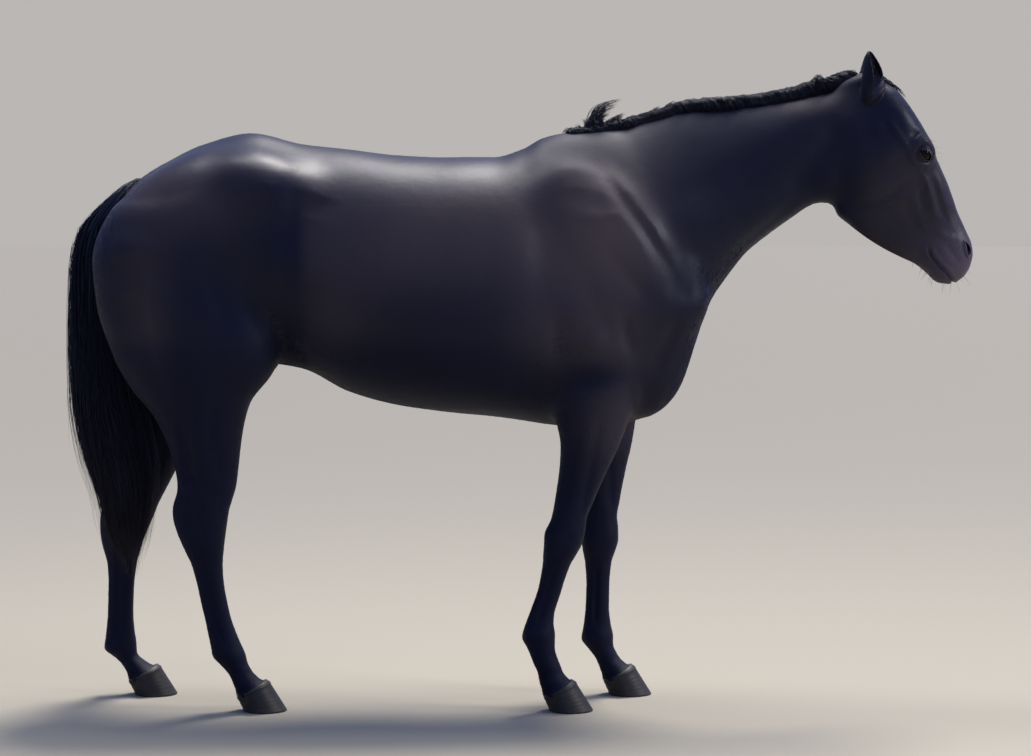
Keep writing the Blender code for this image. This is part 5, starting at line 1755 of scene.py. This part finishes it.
def eye_look():
    """A dark brown iris under a wet cornea, with a level oval pupil and a thin blue-grey rim."""
    finish = Finish("wet eye", Roughness=0.06, Coat_Weight=0.30, Coat_Roughness=0.02, Specular_IOR_Level=0.0)
    u, v = finish.value("gaze_u"), finish.value("gaze_v")
    out = (u * u * 1.3 + v * v * 1.9) ** 0.5
    pupil = ((u * u * 5.0) + (v * v * 26.0)) ** 0.5
    fibres = finish.noise(finish.place(), 900, 3.0)
    iris = finish.mix(fibres, colour(0.0030, 0.0016, 0.0012), colour(0.0085, 0.0042, 0.0028))
    tone = finish.mix(pupil.rise(1.12, 0.90), iris, colour(0.001, 0.001, 0.0015))
    tone = finish.mix(out.rise(0.86, 1.0), tone, colour(0.005, 0.005, 0.007))
    tone = finish.mix(out.rise(1.05, 1.25), tone, colour(0.012, 0.010, 0.010))
    return finish.feed(Base_Color=tone)


# Where the coat is browner, or blacker, than its ground: x, z, length, height and by how much. Some places
# are painted light and shade: a painted highlight band under the mane, painted light on the forearm, painted
# shade in the flank's crease and a painted shadow under the elbow. The places on the barrel end at the flank.
BROWN_AND_PAINTED_LIGHT_PLACES = (
    (0.22, 1.28, 0.17, 0.20, 0.50),
    (0.10, 1.00, 0.13, 0.13, 0.26),
    # painted highlight band under the mane, over some brown coat
    (0.79, 1.62, 0.13, 0.035, 0.30),
    (0.30, 0.98, 0.14, 0.14, 0.22),
    # brown coat with painted light on the forearm
    (0.24, 0.74, 0.10, 0.12, 0.34),
    (-0.97, 1.05, 0.07, 0.22, 0.14),
    (-0.90, 1.37, 0.24, 0.12, 0.36),
    (-1.02, 1.08, 0.08, 0.22, 0.20),
    # painted shade in the flank's crease
    (-0.605, 1.20, 0.030, 0.26, -0.10),
    # painted shadow under the elbow
    (0.20, 0.89, 0.08, 0.035, -0.25),
)
BARREL_PLACES = ((-0.28, 1.25, 0.46, 0.16, 0.46), (-0.50, 1.02, 0.10, 0.12, 0.16))
DULL_PLACES = ((0.17, 1.46, 0.16, 0.10, 1.0), (0.42, 1.15, 0.08, 0.08, 0.8))


def markings(points):
    """What the coat's look reads at each point: how brown it is, painted shade and highlight included, how
    dull it is, and which way its hair runs.
    """
    x, _, z = points.T
    s, r = along_head(points)
    on_face = of_head(points)

    def patches(table):
        return sum(
            amount * bell(x, at_x, length) * bell(z, at_z, height)
            for at_x, at_z, length, height, amount in table
        )

    brown = 0.06 + patches(BROWN_AND_PAINTED_LIGHT_PLACES) + patches(BARREL_PLACES) * ease(x, -0.650, -0.560)
    # Less brown under the rear of the belly: painted shade.
    brown -= 0.10 * ease(-z, -1.02, -0.90) * ease(-x, -0.05, 0.05)
    brown += on_face * 0.28 * ease(s, 0.10, 0.32) * ease(x, THROAT_X, 0.96)
    dull = ease(x, 0.22, 0.42) * ease(z, 1.28, 1.42) * ease(-x, -0.96, -0.84) + patches(DULL_PLACES)
    return {
        "brown": brown * ease(z, 0.45, LEG_TOP),
        "muzzle": on_face * 0.9 * ease(s, 0.42, 0.58) * (0.45 + 0.55 * bell(r, 0.005, 0.040)),
        "dull": np.minimum(dull + 0.8 * ease(-z, -1.04, -0.94), 1),
        "steep": np.maximum(ease(x, 0.05, 0.35), ease(-x, 0.65, 0.90)),
        "down": ease(-z, -0.98, -0.80),
        "face": on_face * ease(s, -0.02, 0.10) * ease(x, THROAT_X, 0.92),
    }


point_values(body, "inside", inside)
for thing, points in [(body, rest_points)] + short_hair:
    for attribute, values in markings(points).items():
        point_values(thing, attribute, values)
# The mane's black is blued as a painted reflection of blue sky light.
mane_hair = hair_look("long black hair", 0.62, 0.44, colour(0.0065, 0.0070, 0.0160))
for look, things in (
    (coat_look(), [body] + [piece for piece, _ in short_hair]),
    (hoof_look(), hooves),
    (eye_look(), eyes),
    (mane_hair, long_hair),
    (hair_look("tail hair", 0.80, 0.42, SKY_BLUED_HAIR_BLACK), tail),
):
    for thing in things:
        thing.data.materials.append(look)


def hung(name, lamp, place, aim):
    """Hangs a lamp or the camera at its place, turned to its aim."""
    holder = put(name, lamp)
    holder.location = place
    holder.rotation_euler = (Vector(aim) - Vector(place)).to_track_quat("-Z", "Y").to_euler()
    return holder


def area_light(name, place, aim, size, power, tint):
    lamp = bpy.data.lights.new(name, "AREA")
    lamp.shape, lamp.size, lamp.size_y = "RECTANGLE", size[0], size[1]
    lamp.energy, lamp.color = power, tint
    hung(name, lamp, place, aim)


sun = bpy.data.lights.new("high light", "SUN")
sun.energy, sun.angle, sun.color = 5.2, math.radians(20), (1.0, 0.93, 0.83)
hung("high light", sun, (0, 0, 0), (-0.24, -0.46, -1.0))
area_light("overhead", (-0.55, 0.5, 4.4), (-0.45, 0.0, 1.2), (2.7, 1.0), 125, (1.0, 0.96, 0.90))
area_light("key", (5.6, -1.6, 3.9), (0.3, 0.0, 1.1), (1.6, 1.6), 200, (1.0, 0.97, 0.94))

# The camera sees a pale backdrop, while the horse is lit by a bluer sky.
world = bpy.data.worlds.new("studio")
world.use_nodes = True
tree = world.node_tree
backdrop = tree.nodes["Background"]
backdrop.inputs["Color"].default_value = (0.495, 0.472, 0.456, 1)
backdrop.inputs["Strength"].default_value = 1.0
glow = tree.nodes.new("ShaderNodeBackground")
glow.inputs["Color"].default_value = (0.36, 0.50, 1.0, 1)
glow.inputs["Strength"].default_value = 0.62
rays = tree.nodes.new("ShaderNodeLightPath")
choice = tree.nodes.new("ShaderNodeMixShader")
tree.links.new(rays.outputs["Is Camera Ray"], choice.inputs["Fac"])
tree.links.new(glow.outputs[0], choice.inputs[1])
tree.links.new(backdrop.outputs[0], choice.inputs[2])
tree.links.new(choice.outputs[0], tree.nodes["World Output"].inputs["Surface"])
bpy.context.scene.world = world
bpy.context.scene.view_settings.view_transform = "Standard"

FLOOR_REACH = 60
ground = bpy.data.meshes.new("floor")
corners = [(x * FLOOR_REACH, y * FLOOR_REACH, 0) for x, y in ((-1, -1), (1, -1), (1, 1), (-1, 1))]
ground.from_pydata(corners, [], [(0, 1, 2, 3)])
floor = put("floor", ground)
ground.materials.append(Finish("pale floor", Base_Color=(0.245, 0.228, 0.186, 1), Roughness=0.8).material)

CAMERA, AIM = np.array([-0.02, -8.0, 1.40]), np.array([-0.02, 0.0, 0.874])
lens = bpy.data.cameras.new("camera")
lens.lens, lens.sensor_width = 102.4, 36
lens.clip_end = 100
bpy.context.scene.camera = hung("camera", lens, (CAMERA + SHIFT).tolist(), (AIM + SHIFT).tolist())
